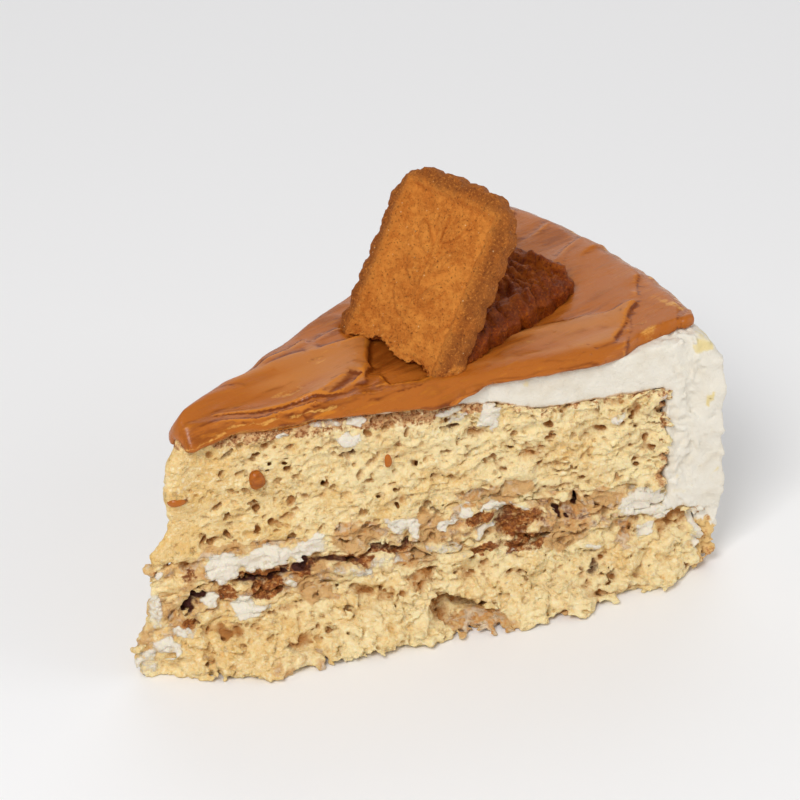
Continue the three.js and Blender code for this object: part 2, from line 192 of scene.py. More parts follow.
class Grain(Lattice):
    """Smooth seeded noise, about -1 to 1, at many points at once."""

    GAIN: float = 1.7  # brings the noise's usual peaks to about 1

    def __init__(self, seed: int) -> None:
        """Draws the lattice's slopes.

        Args:
            seed: The seed for the lattice's numbers and slopes.
        """
        super().__init__(seed)
        slopes = self.draw.normal(size=(256, 3))
        self.slopes = (slopes / np.linalg.norm(slopes, axis=1, keepdims=True)).astype(np.float32)

    def __call__(self, points: np.ndarray) -> np.ndarray:
        """Gives the noise.

        Args:
            points: Places in cells of the lattice, one row a point.

        Returns:
            The noise at each place.
        """
        cell = np.floor(points).astype(np.int64)
        rest = (points - cell).astype(np.float32)
        faded = rest ** 3 * (rest * (rest * 6.0 - 15.0) + 10.0)
        shares = 1.0 - faded, faded
        total = np.zeros(len(points), dtype=np.float32)
        for step, number in self.around(cell, (0, 1)):
            weight = shares[step[0]][:, 0] * shares[step[1]][:, 1] * shares[step[2]][:, 2]
            away = rest - np.array(step, dtype=np.float32)
            total += weight * np.einsum("ij,ij->i", self.slopes[number], away)
        return total * self.GAIN


class Crumbs(Lattice):
    """Crumbs strewn over space, one to a cell of a lattice."""

    FAR: float = 9.0  # more than the square of any distance to the nearest crumb

    def __init__(self, seed: int) -> None:
        """Draws the crumbs' places in their cells."""
        super().__init__(seed)
        self.places = self.draw.random((256, 3)).astype(np.float32)

    def __call__(self, points: np.ndarray) -> np.ndarray:
        """Gives how far the middle of the nearest crumb is.

        Args:
            points: Places in cells of the lattice, one row a point.

        Returns:
            The distance at each place, in cells.
        """
        cell = np.floor(points).astype(np.int64)
        rest = (points - cell).astype(np.float32)
        nearest = np.full(len(points), self.FAR, dtype=np.float32)
        for step, number in self.around(cell, (-1, 0, 1)):
            away = self.places[number] + np.array(step, dtype=np.float32) - rest
            nearest = np.minimum(nearest, np.einsum("ij,ij->i", away, away))
        return np.sqrt(nearest)


class Form(Enum):
    """How noise becomes relief."""

    LUMPS = "round lumps between sharp creases"
    CRESTS = "sharp crests between round hollows"
    SWELLS = "soft swells"
    CRUMBS = "round crumbs packed side by side"


@dataclass(frozen=True)
class Relief:
    """A pattern of relief: how it is formed, its pitch along each axis and its height in millimetres."""

    form: Form
    pitch: Pitch
    height: float
    seed: int

    FOLD: ClassVar[float] = 2.4  # how much steeper folded noise is than the noise itself
    FOLD_MEAN: ClassVar[float] = 0.6  # brings folded noise back to a mean of about 0
    CRUMB_FALL: ClassVar[float] = 2.2  # how fast a crumb falls away from its middle

    def __call__(self, points: np.ndarray) -> np.ndarray:
        """Gives the relief.

        Args:
            points: Places in millimetres.

        Returns:
            How far the surface stands out at each place, in millimetres.
        """
        cells = points / np.array(self.pitch)
        if self.form is Form.CRUMBS:
            return self.height * (1.0 - self.CRUMB_FALL * Crumbs(self.seed)(cells) ** 2)
        noise = Grain(self.seed)(cells)
        if self.form is Form.LUMPS:
            return self.height * (self.FOLD * np.abs(noise) - self.FOLD_MEAN)
        if self.form is Form.CRESTS:
            return self.height * (self.FOLD_MEAN - self.FOLD * np.abs(noise))
        return self.height * noise


def on_line(at: np.ndarray) -> np.ndarray:
    """Gives places along the X axis, for a pattern that varies along one line."""
    return np.stack([at, np.zeros_like(at), np.zeros_like(at)], axis=1)


@dataclass(frozen=True)
class Pores:
    """Bubbles left in a baked crumb: how many to a square centimetre of cut, and their size in millimetres.

    The bias favours small ones. The turn is in radians, and how far they stray and lie under the surface
    is in their own radii.
    """

    density: float
    smallest: float
    largest: float
    seed: int
    stretch: float = 1.5
    bias: float = 3.0
    turn: float = 0.6
    stray: float = 0.25
    sunk: float = 0.4


class Volume:
    """A solid as a block of signed distances in millimetres, below zero inside it.

    Torn crumb has pores, overhangs and creases, which no bmesh operator gives, so the porous and the knife
    worked pieces start as their solid's distances and become a mesh again at the end.
    """

    KNOWN: float = 3.0  # how far from the surface the distances are true
    MOVABLE: float = 2.6  # how far from the surface the solid may change
    CUT_DEPTH: float = 5.0  # how deep behind a cut's plane its surface may lie
    FLAT_SLOPE: float = 0.9  # from here to 1, a surface comes to count as facing up or down
    BLUR_ENDS: float = 2.5  # where a blur stops, in its reaches

    def __init__(self, node: str, cell: float) -> None:
        """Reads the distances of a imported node.

        Args:
            node: The node's name.
            cell: The block's cell.
        """
        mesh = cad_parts[node].data
        mesh.calc_loop_triangles()
        places = np.empty(len(mesh.vertices) * 3, dtype=np.float32)
        mesh.vertices.foreach_get("co", places)
        places = places.reshape(-1, 3) / MM
        corners = np.empty(len(mesh.loop_triangles) * 3, dtype=np.int32)
        mesh.loop_triangles.foreach_get("vertices", corners)
        grid = openvdb.FloatGrid.createLevelSetFromPolygons(
            places, triangles=corners.reshape(-1, 3).astype(np.uint32),
            transform=openvdb.createLinearTransform(voxelSize=cell), halfWidth=self.KNOWN / cell)
        margin = math.ceil(self.KNOWN / cell) + 1
        self.cell = cell
        self.low = np.floor(places.min(axis=0) / cell).astype(int) - margin
        high = np.ceil(places.max(axis=0) / cell).astype(int) + margin
        self.distance = np.empty(tuple(high - self.low), dtype=np.float32)
        grid.copyToArray(self.distance, ijk=tuple(int(v) for v in self.low))

    def points(self, chosen: np.ndarray) -> np.ndarray:
        """Gives the places of the chosen cells.

        Args:
            chosen: A mask over the block.

        Returns:
            Their places in the frame's millimetres, one row a cell.
        """
        return (np.argwhere(chosen) + self.low) * self.cell

    def soften(self, reach: float) -> None:
        """Rounds the solid off with a blur.

        Args:
            reach: The blur's reach in millimetres.
        """
        half = math.ceil(self.BLUR_ENDS * reach / self.cell)
        taps = np.exp(-0.5 * (np.arange(-half, half + 1) * self.cell / reach) ** 2)
        taps /= taps.sum()
        for axis, length in enumerate(self.distance.shape):
            padding = [(half, half) if side == axis else (0, 0) for side in range(3)]
            padded = np.pad(self.distance, padding, mode="edge")
            blurred = np.zeros_like(self.distance)
            for shift, tap in enumerate(taps):
                blurred += np.float32(tap) * np.take(padded, range(shift, shift + length), axis=axis)
            self.distance = blurred

    def raise_by(self, height: Field, sideways: bool = False) -> None:
        """Moves the surface out by a height that depends on the place.

        Args:
            height: Gives the heights in millimetres.
            sideways: Whether only the cuts move, while what faces up or down stays.
        """
        chosen = np.abs(self.distance) < self.MOVABLE
        if sideways:
            slope = np.abs(np.gradient(self.distance, self.cell, axis=2))
            chosen &= slope < 1.0
            chosen[chosen] = PLAN.inside(self.points(chosen)) < self.CUT_DEPTH
        moved = height(self.points(chosen))
        if sideways:
            moved = moved * (1.0 - ease(slope[chosen], self.FLAT_SLOPE, 1.0))
        self.distance[chosen] -= moved.astype(np.float32)

    def carve(self, pores: Pores, share: Field) -> None:
        """Opens pores in the surface.

        Args:
            pores: Their number and sizes.
            share: How many of them stay, at each place, from 0 to 1.
        """
        draw = np.random.default_rng(pores.seed)
        places = self.points(np.abs(self.distance) < self.cell / 2)
        places = places[share(places) > draw.random(len(places))]
        count = int(len(places) * (self.cell / 10.0) ** 2 * pores.density)
        for place in places[draw.integers(0, len(places), count)]:
            radius = pores.smallest * (pores.largest / pores.smallest) ** (draw.random() ** pores.bias)
            turn = draw.normal(0.0, pores.turn)
            long = 1.0 + (pores.stretch - 1.0) * draw.random()
            astray = draw.normal(0.0, pores.stray * radius, 3)
            self._bubble(place + astray + pores.sunk * radius * PLAN.inward(place), radius, long, turn)

    def _bubble(self, place: np.ndarray, radius: float, long: float, turn: float) -> None:
        """Takes one stretched bubble out of the solid.

        Args:
            place: Its middle.
            radius: Its radius before it is stretched.
            long: How many times longer it is.
            turn: How far it is turned in the cut, in radians.
        """
        first = np.maximum(np.floor((place - radius * long) / self.cell).astype(int) - self.low, 0)
        last = np.ceil((place + radius * long) / self.cell).astype(int) - self.low + 1
        block = self.distance[first[0]:last[0], first[1]:last[1], first[2]:last[2]]
        if not block.size:
            return
        grid = np.ogrid[tuple(slice(f, f + n) for f, n in zip(first, block.shape))]
        x, y, z = ((axis + low) * self.cell - at for axis, low, at in zip(grid, self.low, place))
        flat = (x * math.cos(turn) + z * math.sin(turn)) / long
        tall = (z * math.cos(turn) - x * math.sin(turn)) * long ** 0.5
        inside = radius - np.sqrt(flat ** 2 + y ** 2 + tall ** 2)
        np.maximum(block, inside.astype(np.float32), out=block)

    def stand_on(self, level: float) -> None:
        """Cuts the solid off level at a height."""
        heights = (np.arange(self.distance.shape[2]) + self.low[2]) * self.cell
        np.maximum(self.distance, (level - heights).astype(np.float32), out=self.distance)

    def at(self, points: np.ndarray) -> np.ndarray:
        """Reads the distances between cells.

        Args:
            points: Places in the frame's millimetres.

        Returns:
            The distance at each place.
        """
        place = points / self.cell - self.low
        cell = np.clip(np.floor(place).astype(int), 0, np.array(self.distance.shape) - 2)
        rest = place - cell
        total = np.zeros(len(points))
        for corner in product((0, 1), repeat=3):
            weight = np.prod(np.where(corner, rest, 1.0 - rest), axis=1)
            total += weight * self.distance[tuple((cell + corner).T)]
        return total

    def mesh(self, name: str, adaptivity: float) -> "Piece":
        """Makes the solid a piece, without the crumbs that float free of it.

        Args:
            name: The piece's name.
            adaptivity: How much flat places are simplified, from 0 to 1.

        Returns:
            The piece.
        """
        grid = openvdb.FloatGrid(float(self.distance.max()))
        grid.copyFromArray(self.distance, ijk=tuple(int(v) for v in self.low))
        grid.transform = openvdb.createLinearTransform(voxelSize=self.cell)
        grid.gridClass = openvdb.GridClass.LEVEL_SET
        points, *loops = grid.convertToPolygons(isovalue=0.0, adaptivity=adaptivity)
        kept = self._largest(len(points), loops)
        faces = [face[::-1] for loop in loops for face in loop[kept[loop[:, 0]]].tolist()]
        renumbered = (np.cumsum(kept) - 1).tolist()
        return Piece.of(name, points[kept], [[renumbered[i] for i in face] for face in faces])

    @staticmethod
    def _largest(count: int, loops: list[np.ndarray]) -> np.ndarray:
        """Finds the largest connected part of a mesh.

        Args:
            count: How many points the mesh has.
            loops: Its triangles and its quads, as the numbers of their corners.

        Returns:
            A mask of the points in that part.
        """
        labels = np.arange(count)
        edges = np.concatenate([loop[:, [i, (i + 1) % loop.shape[1]]] for loop in loops
                                for i in range(loop.shape[1])]).astype(np.int64)
        while True:
            lowest = np.minimum(labels[edges[:, 0]], labels[edges[:, 1]])
            before = labels.copy()
            np.minimum.at(labels, edges[:, 0], lowest)
            np.minimum.at(labels, edges[:, 1], lowest)
            labels = labels[labels]
            if np.array_equal(before, labels):
                return labels == np.bincount(labels).argmax()


class Piece:
    """One finished piece of the scene: its object, with its place in its mesh."""

    def __init__(self, item: bpy.types.Object) -> None:
        """Keeps the object."""
        self.item = item

    @classmethod
    def of(cls, name: str, points: np.ndarray, faces: list[list[int]]) -> "Piece":
        """Makes a piece of points and the faces between them.

        Args:
            name: The piece's name.
            points: The points in millimetres.
            faces: The numbers of each face's corners.

        Returns:
            The piece.
        """
        mesh = bpy.data.meshes.new(name)
        mesh.from_pydata((points * MM).tolist(), [], faces)
        return cls.place(name, mesh)

    @classmethod
    def of_bmesh(cls, name: str, shape: bmesh.types.BMesh) -> "Piece":
        """Makes a piece of a finished bmesh.

        Args:
            name: The piece's name.
            shape: The bmesh in millimetres, which is freed.

        Returns:
            The piece.
        """
        bmesh.ops.scale(shape, verts=shape.verts, vec=(MM, MM, MM))
        mesh = bpy.data.meshes.new(name)
        shape.to_mesh(mesh)
        shape.free()
        return cls.place(name, mesh)

    @classmethod
    def place(cls, name: str, mesh: bpy.types.Mesh) -> "Piece":
        """Puts a mesh in the scene at the origin, smoothly shaded.

        Args:
            name: The piece's name.
            mesh: The mesh in metres.

        Returns:
            The piece.
        """
        mesh.polygons.foreach_set("use_smooth", [True] * len(mesh.polygons))
        mesh.update()
        item = bpy.data.objects.new(name, mesh)
        bpy.context.scene.collection.objects.link(item)
        return cls(item)

    def points(self) -> np.ndarray:
        """Reads the mesh's points.

        Returns:
            The points in the frame's millimetres, one row a point.
        """
        places = np.empty(len(self.item.data.vertices) * 3, dtype=np.float32)
        self.item.data.vertices.foreach_get("co", places)
        return places.reshape(-1, 3) / MM

    def paint(self, name: str, values: np.ndarray) -> None:
        """Stores a number at every point, for a material to read."""
        layer = self.item.data.attributes.new(name, "FLOAT", "POINT")
        layer.data.foreach_set("value", np.clip(values, 0.0, 1.0).astype(np.float32))

    def dress(self, finish: bpy.types.Material, slot: str, *nodes: str) -> None:
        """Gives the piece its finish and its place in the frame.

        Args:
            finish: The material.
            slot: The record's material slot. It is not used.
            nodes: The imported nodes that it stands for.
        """
        self.item.data.materials.append(finish)
        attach(self.item, "root")
        if nodes:
            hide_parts(*nodes)
        faces = sum(len(face.vertices) - 2 for face in self.item.data.polygons)
        LOG.info("%s: %d triangles", self.item.name, faces)


class Value:
    """A shader's number that adds, subtracts, multiplies, divides and raises as Python's numbers do."""

    def __init__(self, recipe: "Recipe", socket: bpy.types.NodeSocket) -> None:
        """Keeps the socket and the recipe that it belongs to."""
        self.recipe = recipe
        self.socket = socket

    def _with(self, operation: str, left: "Value | float", right: "Value | float") -> "Value":
        """Adds one Math node and gives its result."""
        node = self.recipe.node("ShaderNodeMath", {"operation": operation}, {0: left, 1: right})
        return Value(self.recipe, node.outputs[0])

    def __add__(self, other: "Value | float") -> "Value":
        """Adds."""
        return self._with("ADD", self, other)

    def __radd__(self, other: float) -> "Value":
        """Adds to a number."""
        return self._with("ADD", other, self)

    def __sub__(self, other: "Value | float") -> "Value":
        """Subtracts."""
        return self._with("SUBTRACT", self, other)

    def __rsub__(self, other: float) -> "Value":
        """Subtracts from a number."""
        return self._with("SUBTRACT", other, self)

    def __mul__(self, other: "Value | float") -> "Value":
        """Multiplies."""
        return self._with("MULTIPLY", self, other)

    def __rmul__(self, other: float) -> "Value":
        """Multiplies a number."""
        return self._with("MULTIPLY", other, self)


class Recipe:
    """A material under construction: adds nodes, links them and sets what doesn't vary on the shader."""

    def __init__(self, name: str) -> None:
        """Starts an empty material with its shader, its output and its object coordinates.

        Args:
            name: The material's name.
        """
        self.material = bpy.data.materials.new(name)
        self.material.use_nodes = True
        self.tree = self.material.node_tree
        self.tree.nodes.clear()
        self.shader = self.node("ShaderNodeBsdfPrincipled")
        self.node("ShaderNodeOutputMaterial", None, {"Surface": self.shader.outputs[0]})
        self.place = self.node("ShaderNodeTexCoord").outputs["Object"]

    def node(self, kind: str, settings: dict | None = None, inputs: dict | None = None) -> bpy.types.Node:
        """Adds one node.

        Args:
            kind: The node's type.
            settings: Its properties, set first.
            inputs: A value or a link for each of its sockets, by name or number.

        Returns:
            The node.
        """
        node = self.tree.nodes.new(kind)
        for name, value in (settings or {}).items():
            setattr(node, name, value)
        self.fill(node, inputs or {})
        return node

    def fill(self, node: bpy.types.Node, inputs: dict) -> None:
        """Gives a node's sockets their values and links.

        Args:
            node: The node.
            inputs: A value or a link for each of its sockets, by name or number.
        """
        for name, value in inputs.items():
            given = value.socket if isinstance(value, Value) else value
            socket = node.inputs[name]
            if isinstance(given, bpy.types.NodeSocket):
                self.tree.links.new(given, socket)
            else:
                socket.default_value = (*given, 1.0) if socket.type == "RGBA" else given

    def attribute(self, name: str) -> Value:
        """Reads a number painted on the mesh."""
        return Value(self, self.node("ShaderNodeAttribute", {"attribute_name": name}).outputs["Fac"])

    def noise(self, pitch: float, detail: float, stretch: Pitch | None = None,
              roughness: float = 0.5) -> Value:
        """Makes noise from 0 to 1.

        Args:
            pitch: The size of its features in millimetres.
            detail: How many finer layers it has.
            stretch: How much longer its features are along each axis.
            roughness: How strong the finer layers are.

        Returns:
            The noise.
        """
        place = self.place
        if stretch:
            scale = tuple(1.0 / part for part in stretch)
            place = self.node("ShaderNodeMapping", None, {"Vector": place, "Scale": scale}).outputs[0]
        node = self.node("ShaderNodeTexNoise", None, {
            "Vector": place, "Scale": 1.0 / (pitch * MM), "Detail": detail, "Roughness": roughness})
        return Value(self, node.outputs["Fac"])

    def cells(self, pitch: float) -> Value:
        """Makes the distance to scattered points, in cells of that pitch in millimetres."""
        node = self.node("ShaderNodeTexVoronoi", None, {"Vector": self.place, "Scale": 1.0 / (pitch * MM)})
        return Value(self, node.outputs["Distance"])

    def ramp(self, value: Value, start: float, end: float) -> Value:
        """Runs smoothly from 0 where the value is start to 1 where it is end.

        Args:
            value: The value.
            start: Where the result is still 0.
            end: Where the result has become 1. It may lie before start.

        Returns:
            The smooth share.
        """
        node = self.node("ShaderNodeMapRange", {"interpolation_type": "SMOOTHSTEP"}, {
            "Value": value, "From Min": start, "From Max": end})
        return Value(self, node.outputs["Result"])

    def mask(self, name: str, start: float, end: float, *stray: tuple[Value, float]) -> Value:
        """Reads a number painted on the mesh, with its edge broken up by noise.

        Args:
            name: The painted number.
            start: Where the result is still 0.
            end: Where the result has become 1.
            stray: Each noise with its strength.

        Returns:
            The share at each place.
        """
        value = self.attribute(name)
        for noise, strength in stray:
            value = value + (noise - 0.5) * strength
        return self.ramp(value, start, end)

    def blend(self, base: "Colour | bpy.types.NodeSocket", top: "Colour | bpy.types.NodeSocket",
              share: Value) -> bpy.types.NodeSocket:
        """Mixes two colours.

        Args:
            base: The colour where the share is 0.
            top: The colour where the share is 1.
            share: How much of the top colour shows.

        Returns:
            The mixed colour's socket.
        """
        node = self.node("ShaderNodeMix", {"data_type": "RGBA"}, {0: share, 6: base, 7: top})
        return node.outputs[2]

    def bump(self, height: Value, depth: float, strength: float) -> bpy.types.NodeSocket:
        """Turns heights from 0 to 1 into a normal.

        Args:
            height: The heights.
            depth: What a height of 1 means, in millimetres.
            strength: How much of it shows.

        Returns:
            The normal's socket.
        """
        node = self.node("ShaderNodeBump", None, {
            "Height": height, "Distance": depth * MM, "Strength": strength})
        return node.outputs[0]

    def finish(self, varying: dict, fixed: dict) -> bpy.types.Material:
        """Sets the shader.

        Args:
            varying: Links for the sockets that change over the surface.
            fixed: Values for the sockets that are the same all over it.

        Returns:
            The finished material.
        """
        self.fill(self.shader, {**varying, **fixed})
        return self.material


@dataclass(frozen=True)
class LayerFinish:
    """What shows at the cuts: pale sponge, golden brown where it is deep as painted shade, soaked tan and
    brown, and cream, with a painted highlight on raised crumb and painted shadow in holes.
    """

    # light: painted highlight on raised, closed crumb
    light: Colour = srgb("fdf1ce")
    pale: Colour = srgb("f9e3ae")
    golden: Colour = srgb("e8be75")
    # painted shade: the colours that hollows and pores darken to
    deep: Colour = srgb("b4783a")
    deepest: Colour = srgb("6a3a12")
    tan: Colour = srgb("d2a367")
    orange: Colour = srgb("c98843")
    milky: Colour = srgb("dcc2a2")
    brown: Colour = srgb("b87434")
    red_brown: Colour = srgb("7f4318")
    # hole: painted shadow, near black in holes and cracks
    hole: Colour = srgb("43190a")
    crust: Colour = srgb("d2a06c")
    dark_crust: Colour = srgb("96592a")
    cream: Colour = srgb("efe5d2")
    cream_shade: Colour = srgb("dcc8a8")

    def material(self) -> bpy.types.Material:
        """Mixes the material from what is painted on the mesh, pores and fine grain, including painted shade
        in hollows and pores, a painted highlight on raised crumb and painted shadow in holes.

        Returns:
            The finished material.
        """
        recipe = Recipe("torn_layers")
        blotch = recipe.noise(9.0, 3.0)
        patch = recipe.noise(4.5, 3.0)
        speck = recipe.noise(2.2, 3.0)
        fine = recipe.noise(0.8, 4.0, roughness=0.65)
        openness = recipe.noise(1.0, 2.0, (1.5, 1.5, 0.8), 0.55)
        deep = recipe.attribute("deep")
        small = recipe.ramp(openness, 0.58, 0.68) * recipe.ramp(speck, 0.38, 0.56)
        bubbles = recipe.ramp(recipe.cells(3.4) + (fine - 0.5) * 0.6, 0.24, 0.1)
        pores = small * 0.8 + bubbles * recipe.ramp(patch, 0.44, 0.56)
        # the golden attribute is painted shade, stronger towards the tip
        tint = blotch * 0.4 + speck * 0.2 + fine * 0.4 + recipe.attribute("golden") * 0.08
        colour = recipe.blend(self.pale, self.golden, recipe.ramp(tint, 0.4, 0.7))
        # painted highlight: the light colour on raised crumb that is neither open nor in a hollow
        lit = recipe.ramp(openness * 0.6 + fine * 0.4 + deep, 0.48, 0.34)
        colour = recipe.blend(colour, self.light, lit * 0.55)
        # painted shade: hollows and pores darken to the hollow shade colour
        shaded = recipe.ramp(deep + pores * 0.3 + (fine - 0.5) * 0.3, 0.1, 0.68)
        colour = recipe.blend(colour, self.deep, shaded)
        soaked = recipe.mask("tan", 0.34, 0.74, (patch, 1.5), (speck, 0.7))
        tan = recipe.blend(self.tan, self.orange, recipe.ramp(fine * 0.5 + blotch * 0.5, 0.48, 0.62))
        tan = recipe.blend(tan, self.milky, recipe.ramp(speck * 0.6 + blotch * 0.4, 0.5, 0.62))
        colour = recipe.blend(colour, tan, soaked * 0.9)
        crumb = recipe.mask("brown", 0.4, 0.8, (patch, 0.9), (speck, 1.0), (fine, 0.8))
        dark = recipe.blend(self.brown, self.red_brown, recipe.ramp(fine * 0.6 + speck * 0.4, 0.4, 0.56))
        dark = recipe.blend(dark, self.tan, recipe.ramp(openness, 0.44, 0.36) * 0.7)
        colour = recipe.blend(colour, dark, crumb)
        browned = recipe.blend(self.crust, self.dark_crust, recipe.ramp(fine, 0.46, 0.62))
        crust = recipe.mask("crust", 0.5625, 1.0625, (speck, 2.375), (fine, 1.375))
        colour = recipe.blend(colour, browned, crust)
        # painted shade: the deepest hollows and pores darken further
        colour = recipe.blend(colour, self.deepest, recipe.ramp(deep + pores * 0.12, 0.55, 1.1) * 0.6)
        cream = recipe.mask("cream", 0.36, 0.8, (patch, 0.8), (speck, 1.3), (fine, 1.0))
        # painted shade: the cream greys in its hollows
        white = recipe.blend(self.cream, self.cream_shade, recipe.ramp(deep * 0.7 + speck * 0.5, 0.3, 0.7))
        colour = recipe.blend(colour, white, cream)
        # painted shadow: holes and cracks go near black
        colour = recipe.blend(colour, self.hole, recipe.mask("hole", 0.3, 0.95, (fine, 0.5)))
        relief = fine * 0.8 + speck * 0.2 - (pores * 0.4 + openness * 0.5) * (1.0 - cream)
        return recipe.finish({
            "Base Color": colour,
            "Roughness": 0.6 - soaked * 0.16 + (fine - 0.5) * 0.3,
            "Normal": recipe.bump(relief, 0.8, 0.9),
        }, {
            "Specular IOR Level": 0.3,
            "Subsurface Weight": 0.16, "Subsurface Radius": (1.0, 0.6, 0.25), "Subsurface Scale": 0.002})


@dataclass(frozen=True)
class CreamFinish:
    """Whipped cream: off-white and satin, with a few yellowish stains and a fine curdled grain."""

    white: Colour = srgb("e9e2d3")
    shade: Colour = srgb("e0d6c3")
    crumb: Colour = srgb("e2bd7c")
    crust: Colour = srgb("b27540")
    stain: Colour = srgb("e6cf86")
    soaked: Colour = srgb("d8b48c")

    def material(self) -> bpy.types.Material:
        """Mixes the material from the stains and the crumb at its foot painted on the mesh, and fine grain.

        Returns:
            The finished material.
        """
        recipe = Recipe("whipped_cream")
        broad = recipe.noise(14.0, 3.0)
        speck = recipe.noise(3.5, 3.0)
        grain = recipe.noise(0.9, 4.0, roughness=0.6)
        colour = recipe.blend(self.white, self.shade, recipe.ramp(broad * 0.6 + speck * 0.4, 0.42, 0.7))
        colour = recipe.blend(colour, self.stain, recipe.ramp(recipe.noise(5.0, 3.0), 0.68, 0.78) * 0.5)
        colour = recipe.blend(colour, self.stain, recipe.mask("yellow", 0.3, 0.9, (speck, 0.8)) * 0.8)
        soaked = recipe.mask("soaked", 0.42, 0.8, (speck, 0.9), (grain, 0.6))
        colour = recipe.blend(colour, self.soaked, soaked * 0.8)
        crumb = recipe.blend(self.crumb, self.crust, recipe.ramp(grain * 0.5 + speck * 0.5, 0.48, 0.62))
        colour = recipe.blend(colour, crumb, recipe.mask("foot", 0.4, 0.62, (speck, 1.2), (grain, 0.8)))
        return recipe.finish({
            "Base Color": colour,
            "Roughness": 0.5 + (grain - 0.5) * 0.25,
            "Normal": recipe.bump(grain * 0.6 + speck * 0.4, 0.55, 0.9),
        }, {
            "Specular IOR Level": 0.4,
            "Subsurface Weight": 0.12, "Subsurface Radius": (1.0, 0.85, 0.65), "Subsurface Scale": 0.0015})


@dataclass(frozen=True)
class SpreadFinish:
    """Speculoos spread: caramel brown and satin, with painted shade in its grooves, a painted highlight on
    its ridges and along the near lip, and amber where it is thin.
    """

    brown: Colour = srgb("b26421")
    dark: Colour = srgb("7a390c")
    amber: Colour = srgb("cf7d22")
    # thin: where the spread is thin, and the painted highlight line along the near lip
    thin: Colour = srgb("e6aa55")
    dried: Colour = srgb("c98548")

    def material(self) -> bpy.types.Material:
        """Mixes the material from the ridge highlight, groove shade and thin patches painted on the mesh.

        Returns:
            The finished material.
        """
        recipe = Recipe("speculoos_spread")
        broad = recipe.noise(12.0, 3.0, (2.2, 1.0, 1.0))
        streak = recipe.noise(1.5, 4.0, (9.0, 1.0, 1.0), 0.6)
        grain = recipe.noise(0.8, 3.0, roughness=0.6)
        worked = recipe.ramp(broad * 0.5 + streak * 0.5, 0.48, 0.62)
        colour = recipe.blend(self.brown, self.dark, worked * 0.65)
        colour = recipe.blend(colour, self.amber, recipe.ramp(streak, 0.52, 0.72) * 0.6)
        colour = recipe.blend(colour, self.dried, recipe.mask("dry", 0.3, 1.0, (broad, 1.0)) * 0.6)
        # painted shade: grooves and shaded hollows darken
        colour = recipe.blend(colour, self.dark, recipe.mask("groove", 0.15, 1.1, (streak, 1.4)))
        # painted highlight on raised ridges, and amber near the rim where the spread thins
        colour = recipe.blend(colour, self.amber, recipe.mask("edge", 0.3, 0.9, (streak, 0.8)) * 0.7)
        # the thin mask also carries a painted highlight line along the near lip
        thin = recipe.mask("thin", 0.4, 1.0, (streak, 1.8), (grain, 0.8))
        colour = recipe.blend(colour, self.thin, thin * 0.8)
        return recipe.finish({
            "Base Color": colour,
            "Roughness": 0.26 + recipe.attribute("dry") * 0.14 + (streak - 0.5) * 0.25,
            "Normal": recipe.bump(streak * 0.6 + grain * 0.4, 0.24, 0.8),
        }, {
            "Specular IOR Level": 0.2, "Coat Weight": 0.08, "Coat Roughness": 0.16,
            "Subsurface Weight": 0.06, "Subsurface Radius": (1.0, 0.4, 0.1), "Subsurface Scale": 0.002})


@dataclass(frozen=True)
class BiscuitFinish:
    """Baked speculoos: fine grained orange brown, darker at its edges, with tiny crystals and pits."""

    name: str = "speculoos_biscuit"
    light: Colour = srgb("df8d38")
    brown: Colour = srgb("c26f24")
    baked: Colour = srgb("7f3d0d")
    pit: Colour = srgb("54290b")
    crystal: Colour = srgb("f0d09c")
    roughness: float = 0.78
    coat: float = 0.0
    specular: float = 0.25

    def material(self) -> bpy.types.Material:
        """Mixes the material from how baked the mesh is painted to be and fine grain.

        Returns:
            The finished material.
        """
        recipe = Recipe(self.name)
        broad = recipe.noise(7.0, 3.0)
        grain = recipe.noise(0.55, 4.0, roughness=0.7)
        fine = recipe.noise(1.3, 3.0)
        colour = recipe.blend(self.brown, self.light, recipe.ramp(broad * 0.5 + fine * 0.5, 0.4, 0.64))
        baked = recipe.mask("baked", 0.2, 0.95, (fine, 0.9), (broad, 0.6))
        colour = recipe.blend(colour, self.baked, baked * 0.8)
        colour = recipe.blend(colour, self.pit, recipe.ramp(grain, 0.55, 0.69) * 0.8)
        colour = recipe.blend(colour, self.light, recipe.ramp(grain, 0.46, 0.36) * 0.6)
        crystal = recipe.ramp(recipe.cells(1.5), 0.13, 0.07) * recipe.ramp(fine, 0.5, 0.6)
        colour = recipe.blend(colour, self.crystal, crystal * 0.7)
        return recipe.finish({
            "Base Color": colour,
            "Roughness": self.roughness + (grain - 0.5) * 0.3 - crystal * 0.3,
            "Normal": recipe.bump(grain * 0.7 + fine * 0.3, 0.75, 1.0),
        }, {"Specular IOR Level": self.specular, "Coat Weight": self.coat, "Coat Roughness": 0.25})


class Cut(Enum):
    """Which of the slice's two cuts a spot is on."""

    NEAR = -1
    FAR = 1


@dataclass(frozen=True)
class CutPlaces:
    """Places as the cuts show them: how far from the tip, how high, and whether on the far cut.

    On the spread's top, seen from above, they are how far along and across the slice.
    """

    along: np.ndarray
    height: np.ndarray
    far: np.ndarray

    WANDER: ClassVar[Relief] = Relief(Form.SWELLS, (6.0, 6.0, 6.0), 2.2, 301)
    FRAY: ClassVar[Relief] = Relief(Form.SWELLS, (1.7, 1.7, 1.7), 0.8, 302)
    UPWARDS: ClassVar[float] = 0.7  # how much of the straying goes up and down

    @classmethod
    def of(cls, points: np.ndarray) -> "CutPlaces":
        """Reads places a little astray, so that no spot keeps a smooth edge.

        Args:
            points: Places in the frame's millimetres.

        Returns:
            The places on the cuts.
        """
        aside, above = (
            sum(replace(relief, seed=relief.seed + skip)(points) for relief in (cls.WANDER, cls.FRAY))
            for skip in (0, 2))
        return cls(PLAN.along(points) + aside, points[:, 2] + cls.UPWARDS * above, PLAN.on_far_side(points))


